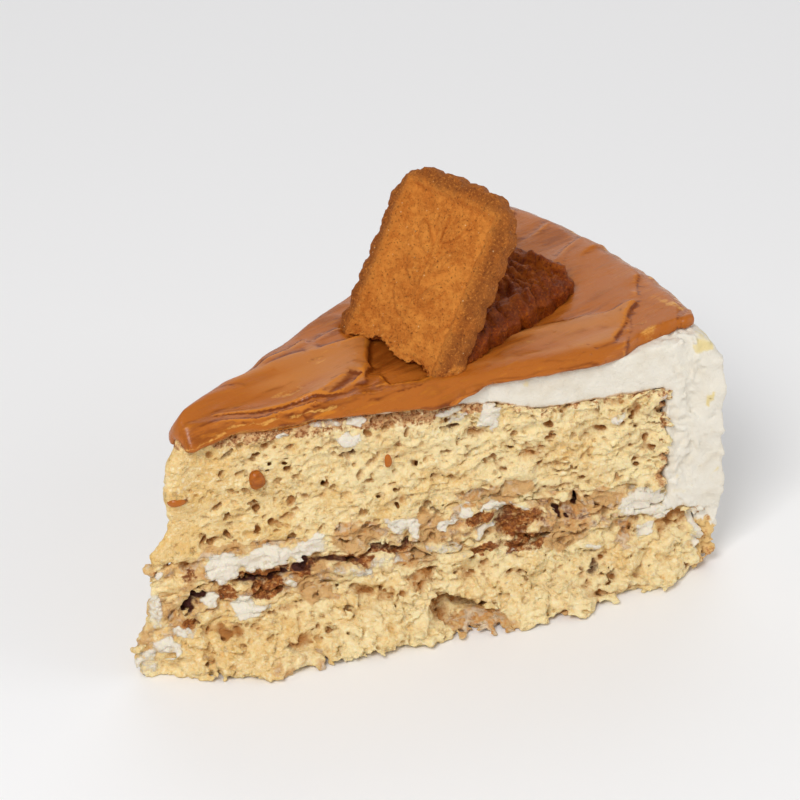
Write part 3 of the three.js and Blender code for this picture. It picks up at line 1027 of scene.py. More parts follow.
@dataclass(frozen=True)
class Spot:
    """A spot on a cut: its place, its reach along and up, its strength, its tilt in degrees and its cut.

    On the spread's top its reach is along and across the slice, and it has no other cut. The edge is how
    steeply its strength rises inwards from its rim.
    """

    along: float
    height: float
    reach: float
    rise: float
    strength: float = 1.0
    tilt: float = 0.0
    cut: Cut = Cut.NEAR
    edge: float = 1.6

    def __call__(self, places: CutPlaces) -> np.ndarray:
        """Gives the spot's strength, gone at its reach.

        Args:
            places: Places on the cuts.

        Returns:
            The strength at each place.
        """
        aside, above = places.along - self.along, places.height - self.height
        turn = math.radians(self.tilt)
        first = (aside * math.cos(turn) + above * math.sin(turn)) / self.reach
        second = (above * math.cos(turn) - aside * math.sin(turn)) / self.rise
        here = places.far == (self.cut is Cut.FAR)
        return self.strength * here * np.clip(self.edge * (1.0 - first ** 2 - second ** 2), 0.0, 1.0)


def spots(near: tuple[tuple[float, ...], ...], far: tuple[tuple[float, ...], ...] = ()) -> tuple[Spot, ...]:
    """Makes spots of rows of their values.

    Args:
        near: The rows for the near cut.
        far: The rows for the far cut, each without a tilt.

    Returns:
        All the spots.
    """
    return (*(Spot(*row) for row in near), *(Spot(*row, cut=Cut.FAR) for row in far))


def patches(*rows: tuple[float, ...]) -> tuple[Spot, ...]:
    """Makes softer spots, for the spread's top, of rows of their values."""
    return tuple(Spot(*row, edge=1.5) for row in rows)


def strongest(chosen: tuple[Spot, ...], places: CutPlaces) -> np.ndarray:
    """Gives the strongest of several spots at each place.

    Args:
        chosen: The spots. Those far above or below the places are passed over.
        places: Places on the cuts.

    Returns:
        The strength at each place.
    """
    total = np.zeros(len(places.height))
    for spot in chosen:
        room = spot.rise + spot.reach
        if places.height.min() - room < spot.height < places.height.max() + room:
            total = np.maximum(total, spot(places))
    return total


class Mark(Enum):
    """What a spot on a cut is: the value is the name that the finish reads. Hole spots are painted near black
    as shadow, and one brown spot is painted shade.
    """

    CREAM = "cream"
    TAN = "tan"
    BROWN = "brown"
    HOLE = "hole"


MARKS = {
    Mark.CREAM: spots(near=(
        (-4.8, 25.8, 2, 1.8), (-5, 17.5, 3, 5, 0.8), (-4, 8.5, 4, 3), (-7.5, 4, 3, 4.5, 0.7),
        (1, 11.8, 4, 1.3, 0.7), (11.5, 24, 5.4, 5), (21, 25.4, 9, 3.2), (32, 25.2, 6.5, 3.4),
        (34, 28.4, 3, 1.8), (55.5, 26.6, 4.8, 2.4, 1, -35), (66.8, 26, 1.6, 1.8),
        (71, 28.3, 3.2, 1.5, 1, 25), (78.2, 28.2, 3.6, 1.5), (84.6, 27.4, 2.2, 1.1, 1, -20),
        (76, 21.9, 4.2, 1.4, 1, 25), (66, 19, 5, 1.4, 0.6), (7.4, 17, 2.8, 2.4, 0.9, 25), (17, 15, 3.6, 3.4),
        (17.5, 13.2, 6.5, 1.4), (27.5, 16.8, 2.2, 2), (44, 17.8, 7, 2, 0.62), (51, 18.5, 5, 1.6, 0.62),
        (116.5, 22, 8, 4.6), (122, 18.2, 5, 2), (132.5, 12, 3.6, 8), (117, 14.7, 2.2, 2.1),
        (103, 13.6, 2, 1, 0.7), (43.5, 53, 3.6, 1.3), (44, 56.8, 3.4, 1.8), (37.5, 58, 5, 1.7, 0.62),
        (27, 56.3, 1.1, 1.1), (66.5, 55.9, 3.4, 1.6), (69.5, 53.6, 2.4, 2, 0.7), (77, 53.5, 1.8, 5.5),
        (110.5, 45.6, 2, 2.3, 0.8), (121.5, 50, 1.5, 2, 0.6),
    ), far=(
        (28, 26, 20, 4), (112, 23, 16, 5), (30, 15.5, 16, 2.4, 0.9), (110, 18, 18, 3), (131, 12, 3, 5, 0.8),
        (50, 54, 6, 1.6, 0.9), (96, 46, 3, 3, 0.8), (4, 9, 7, 4, 0.9), (70, 20, 6, 1.3, 0.9),
        (74, 28, 8, 1.6),
    )),
    Mark.TAN: spots(near=(
        (15, 28.8, 13, 1.9, 0.85), (44.5, 26.2, 8, 5), (62, 25, 6.5, 6), (80, 31.2, 12, 3, 0.8),
        (105, 23.8, 8, 5), (96, 17.5, 9, 4.5, 0.8), (58, 18.4, 9, 2.6, 0.7), (2.5, 24, 5, 5, 0.6),
        (-1, 16, 6, 6, 0.6), (34, 16.5, 6, 5, 0.9), (113, 15, 5, 3.4, 0.6), (72, 1.2, 11, 3, 0.9),
        (95, -0.5, 13, 2.4, 0.9), (54, 56, 7, 3, 0.8), (26, 2, 8, 2.5, 0.5),
    ), far=(
        (60, 22, 14, 5, 0.9), (108, 21, 9, 5, 0.9), (80, 17, 55, 2.4, 0.7), (50, 1.5, 30, 2.5, 0.8),
        (86, 30.5, 20, 2.5, 0.8),
    )),
    Mark.BROWN: spots(near=(
        (21.5, 21.8, 8, 1.4), (22.6, 17.6, 3.6, 3.3), (13, 18.4, 4, 1.8), (73.5, 25.8, 4, 2.8),
        (84, 24, 8, 5), (76, 17, 5.4, 2), (86, 18, 7, 2.3, 0.8), (3, 24, 1.8, 2.4, 0.7),
        # brown spots are soaked biscuit crumb; the long one at 47 along, 21.2 up is painted shade in the
        # recess under the upper cream
        (-5.7, 26.6, 1, 2.2), (3, 13, 2.4, 1, 0.9), (47, 21.2, 15, 1.7, 0.85), (134.8, 2.6, 3.6, 4, 0.8),
        (8, 13, 1.6, 2.5, 0.5), (31, 20.6, 4, 2.2), (1, 44.2, 2.6, 1, 0.9), (73.8, 50.5, 1, 4.5, 0.55, 10),
        (15, 29, 10, 1.2, 0.4),
    ), far=(
        (35, 20.5, 18, 2), (86, 24, 13, 3.5), (90, 0.5, 35, 2.2, 0.6), (134, 4, 4, 5, 0.8),
    )),
    # painted shadow: holes and cracks, pushed in and painted near black
    Mark.HOLE: spots(near=(
        (21.5, 20.3, 9, 1), (31, 21.7, 3.4, 1.8), (40, 20.9, 9, 1, 0.8), (53, 21.6, 9, 1.1, 0.7),
        (3.1, 16.8, 1.4, 2.7, 1, -25), (5.2, 18.8, 1.5, 1.4), (94.7, 23.6, 1.4, 2.6, 1, 25),
        (98.2, 22.2, 1.1, 1), (100, 25.5, 1, 2.4, 1, 20), (79.5, 25, 3.6, 3.4, 0.6),
        (102, 11.5, 2.4, 1.2, 0.6), (102.5, 7.8, 2.3, 0.9, 0.7, -35), (131, 18.5, 1.7, 0.7, 0.8),
        (133, 11.7, 1.6, 0.9, 0.7), (122.6, 48.8, 1.4, 0.9, 0.8), (68.8, 51.1, 2.3, 0.7, 0.7),
        (42.4, 49, 1.9, 0.9, 0.7, -45), (23, 54.3, 4, 1.1, 0.5, -15), (14, 53.8, 1.4, 0.8, 0.6),
        (79, 55, 1.4, 0.6, 0.7), (114, 47, 3, 1.6, 0.45, -35), (64.5, 39, 1.7, 2.6, 0.42),
        (94, 44.3, 0.9, 0.6, 0.8), (25, 5, 4.5, 0.8, 0.55), (70, 5, 9, 1.3, 0.6, -20), (64, 4, 3, 2.8, 0.3),
        (90, 8, 1.3, 2, 0.45), (20, 38.3, 1.9, 1.9, 0.5), (11.5, 40.5, 1.7, 0.8, 0.45),
        (14.5, 34.6, 1.5, 1, 0.45, 30), (12.3, 32.6, 0.9, 1.6, 0.45, -30), (8.1, 33.4, 0.9, 1.7, 0.5, 25),
        (28.1, 37.6, 1.1, 0.9, 0.4), (51, 35, 1.7, 1.1, 0.4), (47.5, 35, 2.1, 0.8, 0.4, 30),
        (44.6, 41.5, 1.1, 0.7, 0.45), (25.8, 44, 0.8, 1, 0.5), (36, 51, 2.1, 0.9, 0.45, -10),
        (40.3, 52.6, 1.4, 0.8, 0.5), (103.2, 30.6, 1, 1, 0.5), (66, 45.5, 1.3, 0.7, 0.45),
        (46.5, 11.5, 1.6, 1.4, 0.4), (80.5, 30.5, 0.9, 0.9, 0.6),
    ), far=(
        (35, 21, 16, 1.2), (84, 23.5, 6, 2, 0.8), (20, 47, 1.5, 1, 0.5), (70, 40, 1.6, 2.2, 0.45),
        (98, 12, 3, 1, 0.6), (52, 6, 5, 0.9, 0.6),
    )),
}

TIP = Profile((
    (0, 1.2), (13, 1.6), (18, 0.8), (24, -0.2), (31, -0.2), (36, -0.2), (46, 1.3), (58, 1.2)))
TOP_SPONGE_TOP = Profile((
    (0, 59.6), (30, 58.4), (64, 57), (77, 55.6), (91, 51.5), (122, 51.6)))


@dataclass(frozen=True)
class TornCrumb:
    """How a torn cut stands out: heights in millimetres of its swells, hollows, dimples, creases and grain.

    The ledges are shelves, each falling off under its edge, and the crumbs are packed side by side. The pitch
    is that of the hollows, and the other patterns keep to it or have their own.
    """

    swell: float
    hollow: float
    dimple: float
    crease: float
    grain: float
    seed: int
    pitch: Pitch = (6.0, 6.0, 3.3)
    ledge: float = 0.0
    crumbs: float = 0.0
    bend: float = 1.8
    bend_pitch: Pitch = (4.5, 4.5, 4.5)
    crumb_pitch: Pitch = (3.0, 3.0, 2.6)
    small_crumb_pitch: Pitch = (1.5, 1.5, 1.4)
    grain_pitch: Pitch = (1.1, 1.1, 0.9)
    ledge_run: Pitch = (9.0, 9.0, 5.0)

    def relief(self, form: Form, pitch: np.ndarray | Pitch, height: float, number: int) -> Relief:
        """Gives one of the crumb's patterns, with its own seed by its number."""
        return Relief(form, tuple(pitch), height, self.seed + number)

    def __call__(self, points: np.ndarray) -> np.ndarray:
        """Gives how far the crumb stands out.

        Args:
            points: Places in the frame's millimetres.

        Returns:
            The height at each place, in millimetres.
        """
        bent = points + np.stack([self.relief(Form.SWELLS, self.bend_pitch, self.bend, number)(points)
                                  for number in range(3)], axis=1)
        pitch = np.array(self.pitch)
        height = self.relief(Form.SWELLS, 1.4 * pitch, self.swell, 3)(points)
        height -= self.hollow * ease(Grain(self.seed + 4)(bent / pitch), 0.06, 0.5)
        height -= self.dimple * ease(Grain(self.seed + 5)(bent / (0.42 * pitch + 0.3)), 0.08, 0.42)
        height += self.relief(Form.LUMPS, 0.75 * pitch, self.crease, 6)(bent)
        height += self.relief(Form.LUMPS, 0.3 * pitch + 0.3, 0.3 * self.crease, 8)(bent)
        if self.crumbs:
            height += self.relief(Form.CRUMBS, self.crumb_pitch, self.crumbs, 12)(points)
            height += self.relief(Form.CRUMBS, self.small_crumb_pitch, 0.5 * self.crumbs, 13)(points)
        if self.ledge:
            height += self.ledges(points)
        return height + self.relief(Form.SWELLS, self.grain_pitch, self.grain, 7)(points)

    def ledges(self, points: np.ndarray) -> np.ndarray:
        """Gives the height of the torn shelves, which wander up and down and break off here and there.

        Args:
            points: Places in the frame's millimetres.

        Returns:
            The height at each place, in millimetres.
        """
        level = points[:, 2] + self.relief(Form.SWELLS, (8.0, 8.0, 6.0), 5.0, 9)(points)
        level += self.relief(Form.SWELLS, (2.2, 2.2, 2.2), 1.2, 11)(points)
        rung = level / self.pitch[2]
        kept = ease(Grain(self.seed + 10)(points / self.ledge_run), -0.2, 0.25)
        return self.ledge * kept * (0.7 - (rung - np.floor(rung)))


@dataclass
class CutLayer:
    """One of the layers that run through the slice: torn at the cuts, and marked by its neighbours there."""

    node: str
    name: str
    slot: str
    finish: bpy.types.Material
    crumb: TornCrumb
    pores: tuple[Pores, ...]
    tan: float = 0.0
    brown: float = 0.0
    cell: float = 0.42
    adaptivity: float = 0.2
    push: tuple[Spot, ...] = ()

    ROUNDING: ClassVar[float] = 0.4  # the blur that rounds the solid off, in millimetres
    OVERLAP: ClassVar[float] = 0.25  # how far it grows into its neighbours, so that no joint gapes
    SMEAR: ClassVar[float] = 0.5  # how far a patch of cream stands out
    SMOOTHED: ClassVar[float] = 0.3  # how much of the crumb a patch of cream covers
    GAP: ClassVar[float] = 1.9  # how deep the holes go, which are also painted near black as shadow
    DEEP: ClassVar[float] = 2.9  # how far under the whole cut the painted hollow shade reaches its full value
    GOLDEN: ClassVar[tuple[float, float]] = (2.0, 55.0)  # where the painted shade that tints the crumb golden towards the tip starts and ends to fade

    def torn(self, points: np.ndarray) -> np.ndarray:
        """Gives how much of the tearing shows at each place, from 0 to 1."""
        return np.ones(len(points))

    def porous(self, points: np.ndarray) -> np.ndarray:
        """Gives how many of the pores stay at each place, from 0 to 1."""
        thick = PLAN.near_cut(points, 1.0, 2.0) * ease(PLAN.along(points), 3.0, 8.0)
        return thick * (1.0 - strongest(MARKS[Mark.CREAM], CutPlaces.of(points)))

    def crust(self, points: np.ndarray) -> np.ndarray:
        """Gives where the layer was browned in the oven."""
        return np.zeros(len(points))

    def relief(self, points: np.ndarray) -> np.ndarray:
        """Gives how far the cuts stand out.

        Args:
            points: Places in the frame's millimetres.

        Returns:
            The height at each place, in millimetres.
        """
        places = CutPlaces.of(points)
        cream = strongest(MARKS[Mark.CREAM], places)
        height = self.torn(points) * self.crumb(points) * (1.0 - self.SMOOTHED * cream) + self.SMEAR * cream
        height += TIP(points[:, 2]) * (1.0 - ease(PLAN.along(points), -1.0, 8.0))
        height += sum(spot(places) for spot in self.push) - self.GAP * strongest(MARKS[Mark.HOLE], places)
        return height * PLAN.near_cut(points, 1.5, 3.0)

    def build(self) -> None:
        """Makes the layer from its solid, tears and pits its cuts, paints and dresses it."""
        solid = Volume(self.node, self.cell)
        solid.soften(self.ROUNDING)
        solid.distance -= self.OVERLAP
        smooth = deepcopy(solid)
        solid.raise_by(self.relief, sideways=True)
        for pores in self.pores:
            solid.carve(pores, self.porous)
        solid.stand_on(0.0)
        piece = solid.mesh(self.name, self.adaptivity)
        points = piece.points()
        places = CutPlaces.of(points)
        # painted shade: how far each point lies under the smoothed cut, for the finish to darken hollows
        piece.paint("deep", -smooth.at(points) / self.DEEP)
        # painted shade: the crumb goes more golden towards the tip, where less light falls
        piece.paint("golden", 1.0 - ease(PLAN.along(points), *self.GOLDEN))
        piece.paint("crust", self.crust(points))
        everywhere = {Mark.TAN: self.tan, Mark.BROWN: self.brown}
        for mark in Mark:
            piece.paint(mark.value, np.maximum(everywhere.get(mark, 0.0), strongest(MARKS[mark], places)))
        piece.dress(self.finish, self.slot, self.node)


@dataclass
class TopSponge(CutLayer):
    """The upper sponge: fine crumb with round pores towards the tip, torn ripples towards the rim."""

    share: Profile = Profile(((8, 0.3), (45, 0.5), (75, 0.95), (120, 1.0)))
    crust_band: Profile = Profile((
        (4, 3.0), (30, 3.2), (48, 3.0), (60, 4.2), (70, 2.0), (80, 1.1), (122, 1.0)))
    wander: Relief = Relief(Form.SWELLS, (5.0, 5.0, 5.0), 1.2, 17)

    def torn(self, points: np.ndarray) -> np.ndarray:
        """Gives how much of the tearing shows at each place, from 0 to 1."""
        return self.share(PLAN.along(points))

    def porous(self, points: np.ndarray) -> np.ndarray:
        """Gives how many of the pores stay at each place: fewer where the crumb is torn."""
        return super().porous(points) * (1.0 - 0.5 * self.torn(points))

    def crust(self, points: np.ndarray) -> np.ndarray:
        """Gives where the layer was browned: a band under its top and a thinner one at its rim.

        Args:
            points: Places in the frame's millimetres.

        Returns:
            How browned each place is, from 0 to 1.
        """
        along, wander = PLAN.along(points), self.wander(points)
        under = (TOP_SPONGE_TOP(PLAN.from_centre(points)) - points[:, 2] + wander) / self.crust_band(along)
        top = (1.0 - ease(under, 0.75, 1.2)) * (1.0 - 0.25 * ease(along, 70.0, 85.0))
        broken_up = 0.45 + 0.55 * ease(np.abs(points[:, 2] - 37.0), 2.0, 5.0)
        return np.maximum(top, ease(along + wander, 119.3, 121.0) * broken_up)


@dataclass
class Coat:
    """The whipped cream coat: a cut dragged by the knife, and marks and small peaks round the wall.

    The shoulder is where its top turns into its wall, from the cake's centre line. The strip over the
    sponge is dragged less than what is past its end. Sizes are in millimetres.
    """

    finish: bpy.types.Material
    cell: float = 0.45
    adaptivity: float = 0.12
    rounding: float = 0.5
    swelling: float = 0.15
    shoulder: tuple[float, float] = (129.0, 134.0)
    slant: float = 0.18
    drag_lean: float = 0.25
    strip_end: tuple[float, float] = (117.0, 125.0)
    strip_drag: float = 0.28
    bands: Relief = Relief(Form.CRESTS, (30.0, 30.0, 13.0), 0.6, 61)
    scrapes: Relief = Relief(Form.CRESTS, (10.0, 10.0, 4.0), 0.36, 62)
    peaks: Relief = Relief(Form.LUMPS, (3.6, 3.6, 2.4), 0.17, 63)
    grain: Relief = Relief(Form.SWELLS, (1.5, 1.5, 1.2), 0.2, 64)
    drag: Relief = Relief(Form.CRESTS, (4.2, 4.2, 12.0), 0.7, 65)
    curds: Relief = Relief(Form.LUMPS, (2.4, 2.4, 3.2), 0.45, 66)
    wander: Relief = Relief(Form.SWELLS, (9.0, 9.0, 9.0), 3.0, 67)
    torn: TornCrumb = TornCrumb(0.8, 0.9, 1.0, 0.6, 0.2, 68)
    yellow: tuple[Spot, ...] = spots((
        (130.5, 62, 2.4, 2.4, 0.8), (133.6, 47.5, 1.3, 3.4, 1, -12), (136, 27, 1.4, 1.6, 0.8),
        (126, 23.5, 2.4, 1.2, 0.5)))
    foot: tuple[Spot, ...] = spots(((127, 3, 17, 13, 1.3), (129, 15, 6, 4, 0.5)), ((127, 3, 17, 12, 1.2),))

    def relief(self, points: np.ndarray) -> np.ndarray:
        """Gives how far the cream stands out.

        Args:
            points: Places in the frame's millimetres.

        Returns:
            The height at each place, in millimetres.
        """
        wall = ease(PLAN.from_centre(points), *self.shoulder)
        astray = self.wander(points)
        slanted = points + np.stack([astray, astray, points[:, 1] * self.slant + astray], axis=1)
        marks = self.bands(slanted) + self.scrapes(slanted) + self.peaks(points)
        dragged = self.drag(slanted + on_line(points[:, 2] * self.drag_lean)) + self.curds(slanted)
        past_strip = ease(PLAN.along(points), *self.strip_end)
        worked = self.strip_drag + (1.0 - self.strip_drag) * past_strip
        cut = PLAN.near_cut(points, 4.0, 4.0) * (1.0 - wall) * worked
        foot = strongest(self.foot, CutPlaces.of(points)) * PLAN.near_cut(points, 2.0, 2.0)
        cream = (marks * wall + dragged * cut) * (1.0 - foot)
        return cream + self.torn(points) * foot + self.grain(points) + self.swelling

    def build(self) -> None:
        """Makes the coat from its solid, draws the knife round it and dresses it."""
        solid = Volume("cream_coat", self.cell)
        solid.soften(self.rounding)
        solid.raise_by(self.relief)
        piece = solid.mesh("whipped_cream_coat", self.adaptivity)
        points = piece.points()
        places = CutPlaces.of(points)
        over_sponge = points[:, 2] - TOP_SPONGE_TOP(PLAN.from_centre(points))
        joint = (1.0 - ease(over_sponge, 0.3, 1.8)) * (1.0 - ease(PLAN.along(points), 116.0, 123.0))
        piece.paint("soaked", 0.85 * joint * (points[:, 2] > 48.0))
        near = PLAN.near_cut(points, 4.0, 5.0)
        piece.paint("foot", strongest(self.foot, places) * near)
        piece.paint("yellow", strongest(self.yellow, places) * near)
        piece.dress(self.finish, "cream", "cream_coat")


@dataclass(frozen=True)
class Stroke:
    """One stroke of the knife, in the slice's own axes.

    It is a flattened lane that climbs to its ragged end, with raised sides and a lip. The slant is how much
    further its end is for each millimetre across it.
    """

    start: tuple[float, float]
    end: tuple[float, float]
    width: float
    level: float
    bow: float = 0.0
    lip: float = 0.4
    side: float = 0.3
    climb: float = 0.0
    slant: float = 0.0

    BEFORE: ClassVar[float] = 4.0  # how far before its start the stroke begins to show
    ROOM: ClassVar[float] = 5.5  # how far past its sides and its end it may still show
    WAVES: ClassVar[Relief] = Relief(Form.SWELLS, (9.0, 1.0, 1.0), 1.0, 40)
    SCRATCHES: ClassVar[Relief] = Relief(Form.CRESTS, (24.0, 1.4, 1.0), 0.07, 0)
    GROOVES: ClassVar[Relief] = Relief(Form.SWELLS, (26.0, 3.2, 1.0), 0.34, 1)
    RAGGED: ClassVar[Relief] = Relief(Form.SWELLS, (4.0, 4.0, 1.0), 1.6, 2)

    def press(self, x: np.ndarray, y: np.ndarray, height: np.ndarray, seed: int) -> np.ndarray:
        """Lays the stroke over the spread's heights.

        Args:
            x: The places along the slice.
            y: The places across it.
            height: The heights so far.
            seed: The seed for its scratches.

        Returns:
            The new heights, in millimetres.
        """
        waves, scratches, grooves, ragged = (replace(relief, seed=seed + relief.seed) for relief in (
            self.WAVES, self.SCRATCHES, self.GROOVES, self.RAGGED))
        run = np.subtract(self.end, self.start)
        length = float(np.hypot(*run))
        way = run / length
        along = (x - self.start[0]) * way[0] + (y - self.start[1]) * way[1]
        share = np.clip(along / length, 0.0, 1.0)
        bend = self.bow * 4.0 * share * (1.0 - share)
        across = (y - self.start[1]) * way[0] - (x - self.start[0]) * way[1] - bend
        reach = self.width / 2.0 + self.ROOM
        near = (np.abs(across) < reach) & (along > -self.BEFORE)
        near &= along < length + abs(self.slant) * reach + self.ROOM
        along, share, across, before = along[near], share[near], across[near], height[near]
        across += waves(on_line(along))
        lane_places = np.stack([along, across, np.zeros_like(along)], axis=1)
        past = along - length - self.slant * across + ragged(on_line(across))
        sides = np.abs(across / (self.width / 2.0))
        started = ease(along, -self.BEFORE, 5.0)
        lane = (1.0 - ease(sides, 0.8, 1.0)) * started * (1.0 - ease(past, -0.9, 0.7))
        flat = self.level + self.climb * share ** 2 + scratches(lane_places) + grooves(lane_places)
        flat += 0.2 * across / self.width
        ridge = np.exp(-((sides - 0.9) * self.width / 2.8) ** 2) * started * (1.0 - ease(past, -3.0, 0.0))
        lip = np.exp(-((past + 1.3) / 1.5) ** 2) * (1.0 - ease(sides, 0.7, 1.05))
        pressed = height.copy()
        pressed[near] = before + (flat - before) * lane + self.side * ridge + self.lip * lip
        return pressed


@dataclass
class Spread:
    """The speculoos spread: the knife's strokes over the top, and lips that hang over the cuts.

    A place is a ridge or a groove by its height over the places that far round it. Sizes are in millimetres.
    """

    finish: bpy.types.Material
    cell: float = 0.4
    adaptivity: float = 0.06
    rounding: float = 0.5
    lowest: float = -0.6
    look_round: float = 0.7
    ridge_height: float = 0.16
    groove_depth: float = 0.1
    rim: tuple[float, float] = (129.0, 131.5)
    strokes: tuple[Stroke, ...] = (
        Stroke((74, 24), (124, 34), 12, 0.3, bow=2, lip=0.1, side=0.2, climb=0.2, slant=0.3),
        Stroke((80, 16), (126, 26), 11, 0.0, bow=-2, lip=0.1, side=0.25),
        Stroke((104, -6), (131, 12), 13, 0.2, bow=3, lip=0.1, side=0.2),
        Stroke((98, 6), (131, 19), 10, -0.1, bow=-2, lip=0.1, side=0.25),
        Stroke((18, 9), (58, 16), 11, -0.1, bow=1, lip=0.1, side=0.3),
        Stroke((10, 3), (46, 9), 6, 0.3, bow=-1, lip=0.1, side=0.25),
        Stroke((58, -18), (60, 9), 12, -0.55, lip=0.0, side=0.0),
        Stroke((1, -0.5), (54, -3), 17, 0.2, bow=1.5, lip=0.15, side=0.15, climb=1.1, slant=0.68),
        Stroke((33, -12), (48, -6.5), 3.4, 0.15, bow=0.4, lip=0.0, side=0.3),
        Stroke((4, -4.5), (82, -25), 6, -0.05, bow=-1.2, lip=0.0, side=0.2),
        Stroke((8, -2.2), (58, -17.5), 2.6, -0.25, bow=1.2, lip=0.0, side=0.16),
        Stroke((24, -8.4), (80, -22.5), 2.2, -0.15, bow=-1, lip=0.0, side=0.16),
        Stroke((70, -24.5), (112, -37), 2.4, -0.05, bow=-0.8, lip=0.0, side=0.16),
        Stroke((68, -17), (111, -27), 15, 0.3, bow=1.5, lip=0.05, side=0.12, climb=0.6, slant=0.95),
        Stroke((60, -20), (99, -33), 7, 0.2, bow=1, lip=0.1, side=0.2, climb=0.2),
        Stroke((134, -14), (106, -43), 14, -0.3, bow=0.5, lip=0.0, side=0.0))
    swirls: Relief = Relief(Form.CRESTS, (15.0, 5.0, 50.0), 0.3, 71)
    lip_wander: Relief = Relief(Form.SWELLS, (5.0, 5.0, 50.0), 0.6, 72)
    lower_edge: Profile = Profile((
        (-5, 55.6), (2, 55.8), (5, 57.2), (8, 58.2), (15, 59.4), (36, 59.7), (58, 59.0), (63, 57.8),
        (67, 57.8), (71, 60.0), (78, 61.2), (106, 61.2), (114, 63.5), (132, 65)))
    thin: tuple[Spot, ...] = patches(
        (33, -2.5, 7, 1.6, 0.62, -14), (42, 2.4, 9, 1.4, 0.6, 12), (17, -3.2, 7, 1.2, 0.5, -14),
        (113.5, -34, 7, 3.0, 0.6, 70), (125, -27, 6, 1.8, 0.7, -70), (96, -28, 5, 1.2, 0.45, -30),
        (90, -21, 5, 1, 0.5, -40), (102, 22, 9, 2, 0.4, 20), (112, 8, 8, 1.6, 0.4, 30))
    shaded: tuple[Spot, ...] = patches(
        (60, -4, 6, 11, 0.7), (41, -9, 8, 1.4, 0.8, 22), (52, 9, 6, 1.2, 0.6, 10), (84, 14, 12, 1.4, 0.6, 15),
        (96, 26, 12, 1.2, 0.6, 12), (98, -38, 10, 1.6, 0.6, -20))

    def heights(self, points: np.ndarray) -> np.ndarray:
        """Lays all the strokes, one over the other.

        Args:
            points: Places in the frame's millimetres.

        Returns:
            How far the knife left the spread above its mean at each place, in millimetres.
        """
        x, y = PLAN.own(points)
        height = self.swirls(points * (1.0, 1.0, 0.0))
        for number, stroke in enumerate(self.strokes):
            height = stroke.press(x, y, height, 200 + 3 * number)
        return np.maximum(height, self.lowest)

    def lip_line(self, points: np.ndarray) -> np.ndarray:
        """Gives where the lip over the near cut ends.

        Args:
            points: Places in the frame's millimetres.

        Returns:
            The lip's lower end over each place, far below everything where there is no lip.
        """
        wander = self.lip_wander(points * (1.0, 1.0, 0.0))
        outside = PLAN.near_cut(points, -0.5, 1.5) * ~PLAN.on_far_side(points)
        return self.lower_edge(PLAN.along(points)) + wander - 20.0 * (1.0 - outside)

    def trimmed_lip(self, points: np.ndarray) -> np.ndarray:
        """Gives how far the spread stands out so that the lip ends at its line."""
        return 0.5 - 1.6 * ease(self.lip_line(points) - points[:, 2], -0.4, 0.4)

    def blunt_tip(self, points: np.ndarray) -> np.ndarray:
        """Gives how far the spread is taken back at the slice's tip."""
        return -4.0 * ease(PLAN.own(points)[0], 3.2, 0.6)

    def lift(self, points: np.ndarray) -> np.ndarray:
        """Gives how far to raise the spread: the knife's heights on the top, little on the lips."""
        on_top = ease(PLAN.inside(points), -1.5, 1.5)
        return self.heights(points) * (0.3 + 0.7 * on_top) + 0.2 * on_top

    def build(self) -> None:
        """Makes the spread from its solid, presses the strokes into it and dresses it."""
        solid = Volume("speculoos_spread", self.cell)
        solid.raise_by(self.trimmed_lip)
        solid.raise_by(self.blunt_tip)
        solid.soften(self.rounding)
        solid.raise_by(self.lift)
        piece = solid.mesh("speculoos_spread_swirls", self.adaptivity)
        self.paint(piece)
        piece.dress(self.finish, "spread", "speculoos_spread")

    def paint(self, piece: Piece) -> None:
        """Paints the painted highlight on ridges, the painted shade in grooves and shaded hollows, and the
        thin and dried places for the finish to read.

        Args:
            piece: The finished spread.
        """
        points = piece.points()
        x, y = PLAN.own(points)
        height = self.heights(points)
        away = self.look_round
        around = sum(self.heights(points + (away * math.cos(turn), away * math.sin(turn), 0.0))
                     for turn in np.arange(4) * math.pi / 2) / 4
        over_lip = points[:, 2] - self.lip_line(points)
        rim = ease(PLAN.from_centre(points), *self.rim)
        # painted highlight: a light line along the near lip's upper edge, towards the tip
        line = ease(np.abs(over_lip - 1.2 - 0.03 * x), 0.5, 0.2) * ease(x, 44.0, 36.0)
        under = 1.0 - ease(over_lip, 0.3, 1.0)
        # painted highlight: how far each place stands over its surroundings; amber near the rim
        piece.paint("edge", np.maximum((height - around) / self.ridge_height, 0.45 * rim))
        # painted shade: how far each place lies below its surroundings, with the shaded patches
        grooved = (around - height) / self.groove_depth
        top = CutPlaces(x, y, np.zeros(len(x), bool))
        piece.paint("groove", np.maximum(grooved, strongest(self.shaded, top)))
        scraped = strongest(self.thin, top)
        piece.paint("thin", np.max([scraped, 0.55 * rim, 0.5 * under, 0.8 * line], axis=0))
        piece.paint("dry", ease(height, 0.0, 0.9))


@dataclass(frozen=True)
class Drop:
    """A drop of spread on the near cut: its place along and up the cut, and its half width and height."""

    name: str
    along: float
    height: float
    reach: float
    rise: float
    out: float = 0.7
    flatness: float = 0.75

    def build(self, finish: bpy.types.Material) -> None:
        """Flattens a ball against the cut, lets it hang a little and dresses it.

        Args:
            finish: The spread's material.
        """
        turn = PLAN.half_angle
        shape = bmesh.new()
        bmesh.ops.create_icosphere(shape, subdivisions=4, radius=1.0)
        for vert in shape.verts:
            x, y, z = vert.co
            swollen = 1.0 + 0.12 * math.sin(3.0 * x + self.along) - 0.22 * z * (x > 0.0)
            vert.co = (x * swollen, y, z * (1.0 - 0.15 * x))
        bmesh.ops.scale(shape, verts=shape.verts, vec=(self.reach, self.flatness * self.reach, self.rise))
        bmesh.ops.rotate(shape, verts=shape.verts, matrix=Matrix.Rotation(-turn, 3, "Z"))
        place = (PLAN.tip[0] + self.along * math.cos(turn) - self.out * math.sin(turn),
                 PLAN.tip[1] - self.along * math.sin(turn) - self.out * math.cos(turn), self.height)
        bmesh.ops.translate(shape, verts=shape.verts, vec=place)
        Piece.of_bmesh(self.name, shape).dress(finish, "spread")


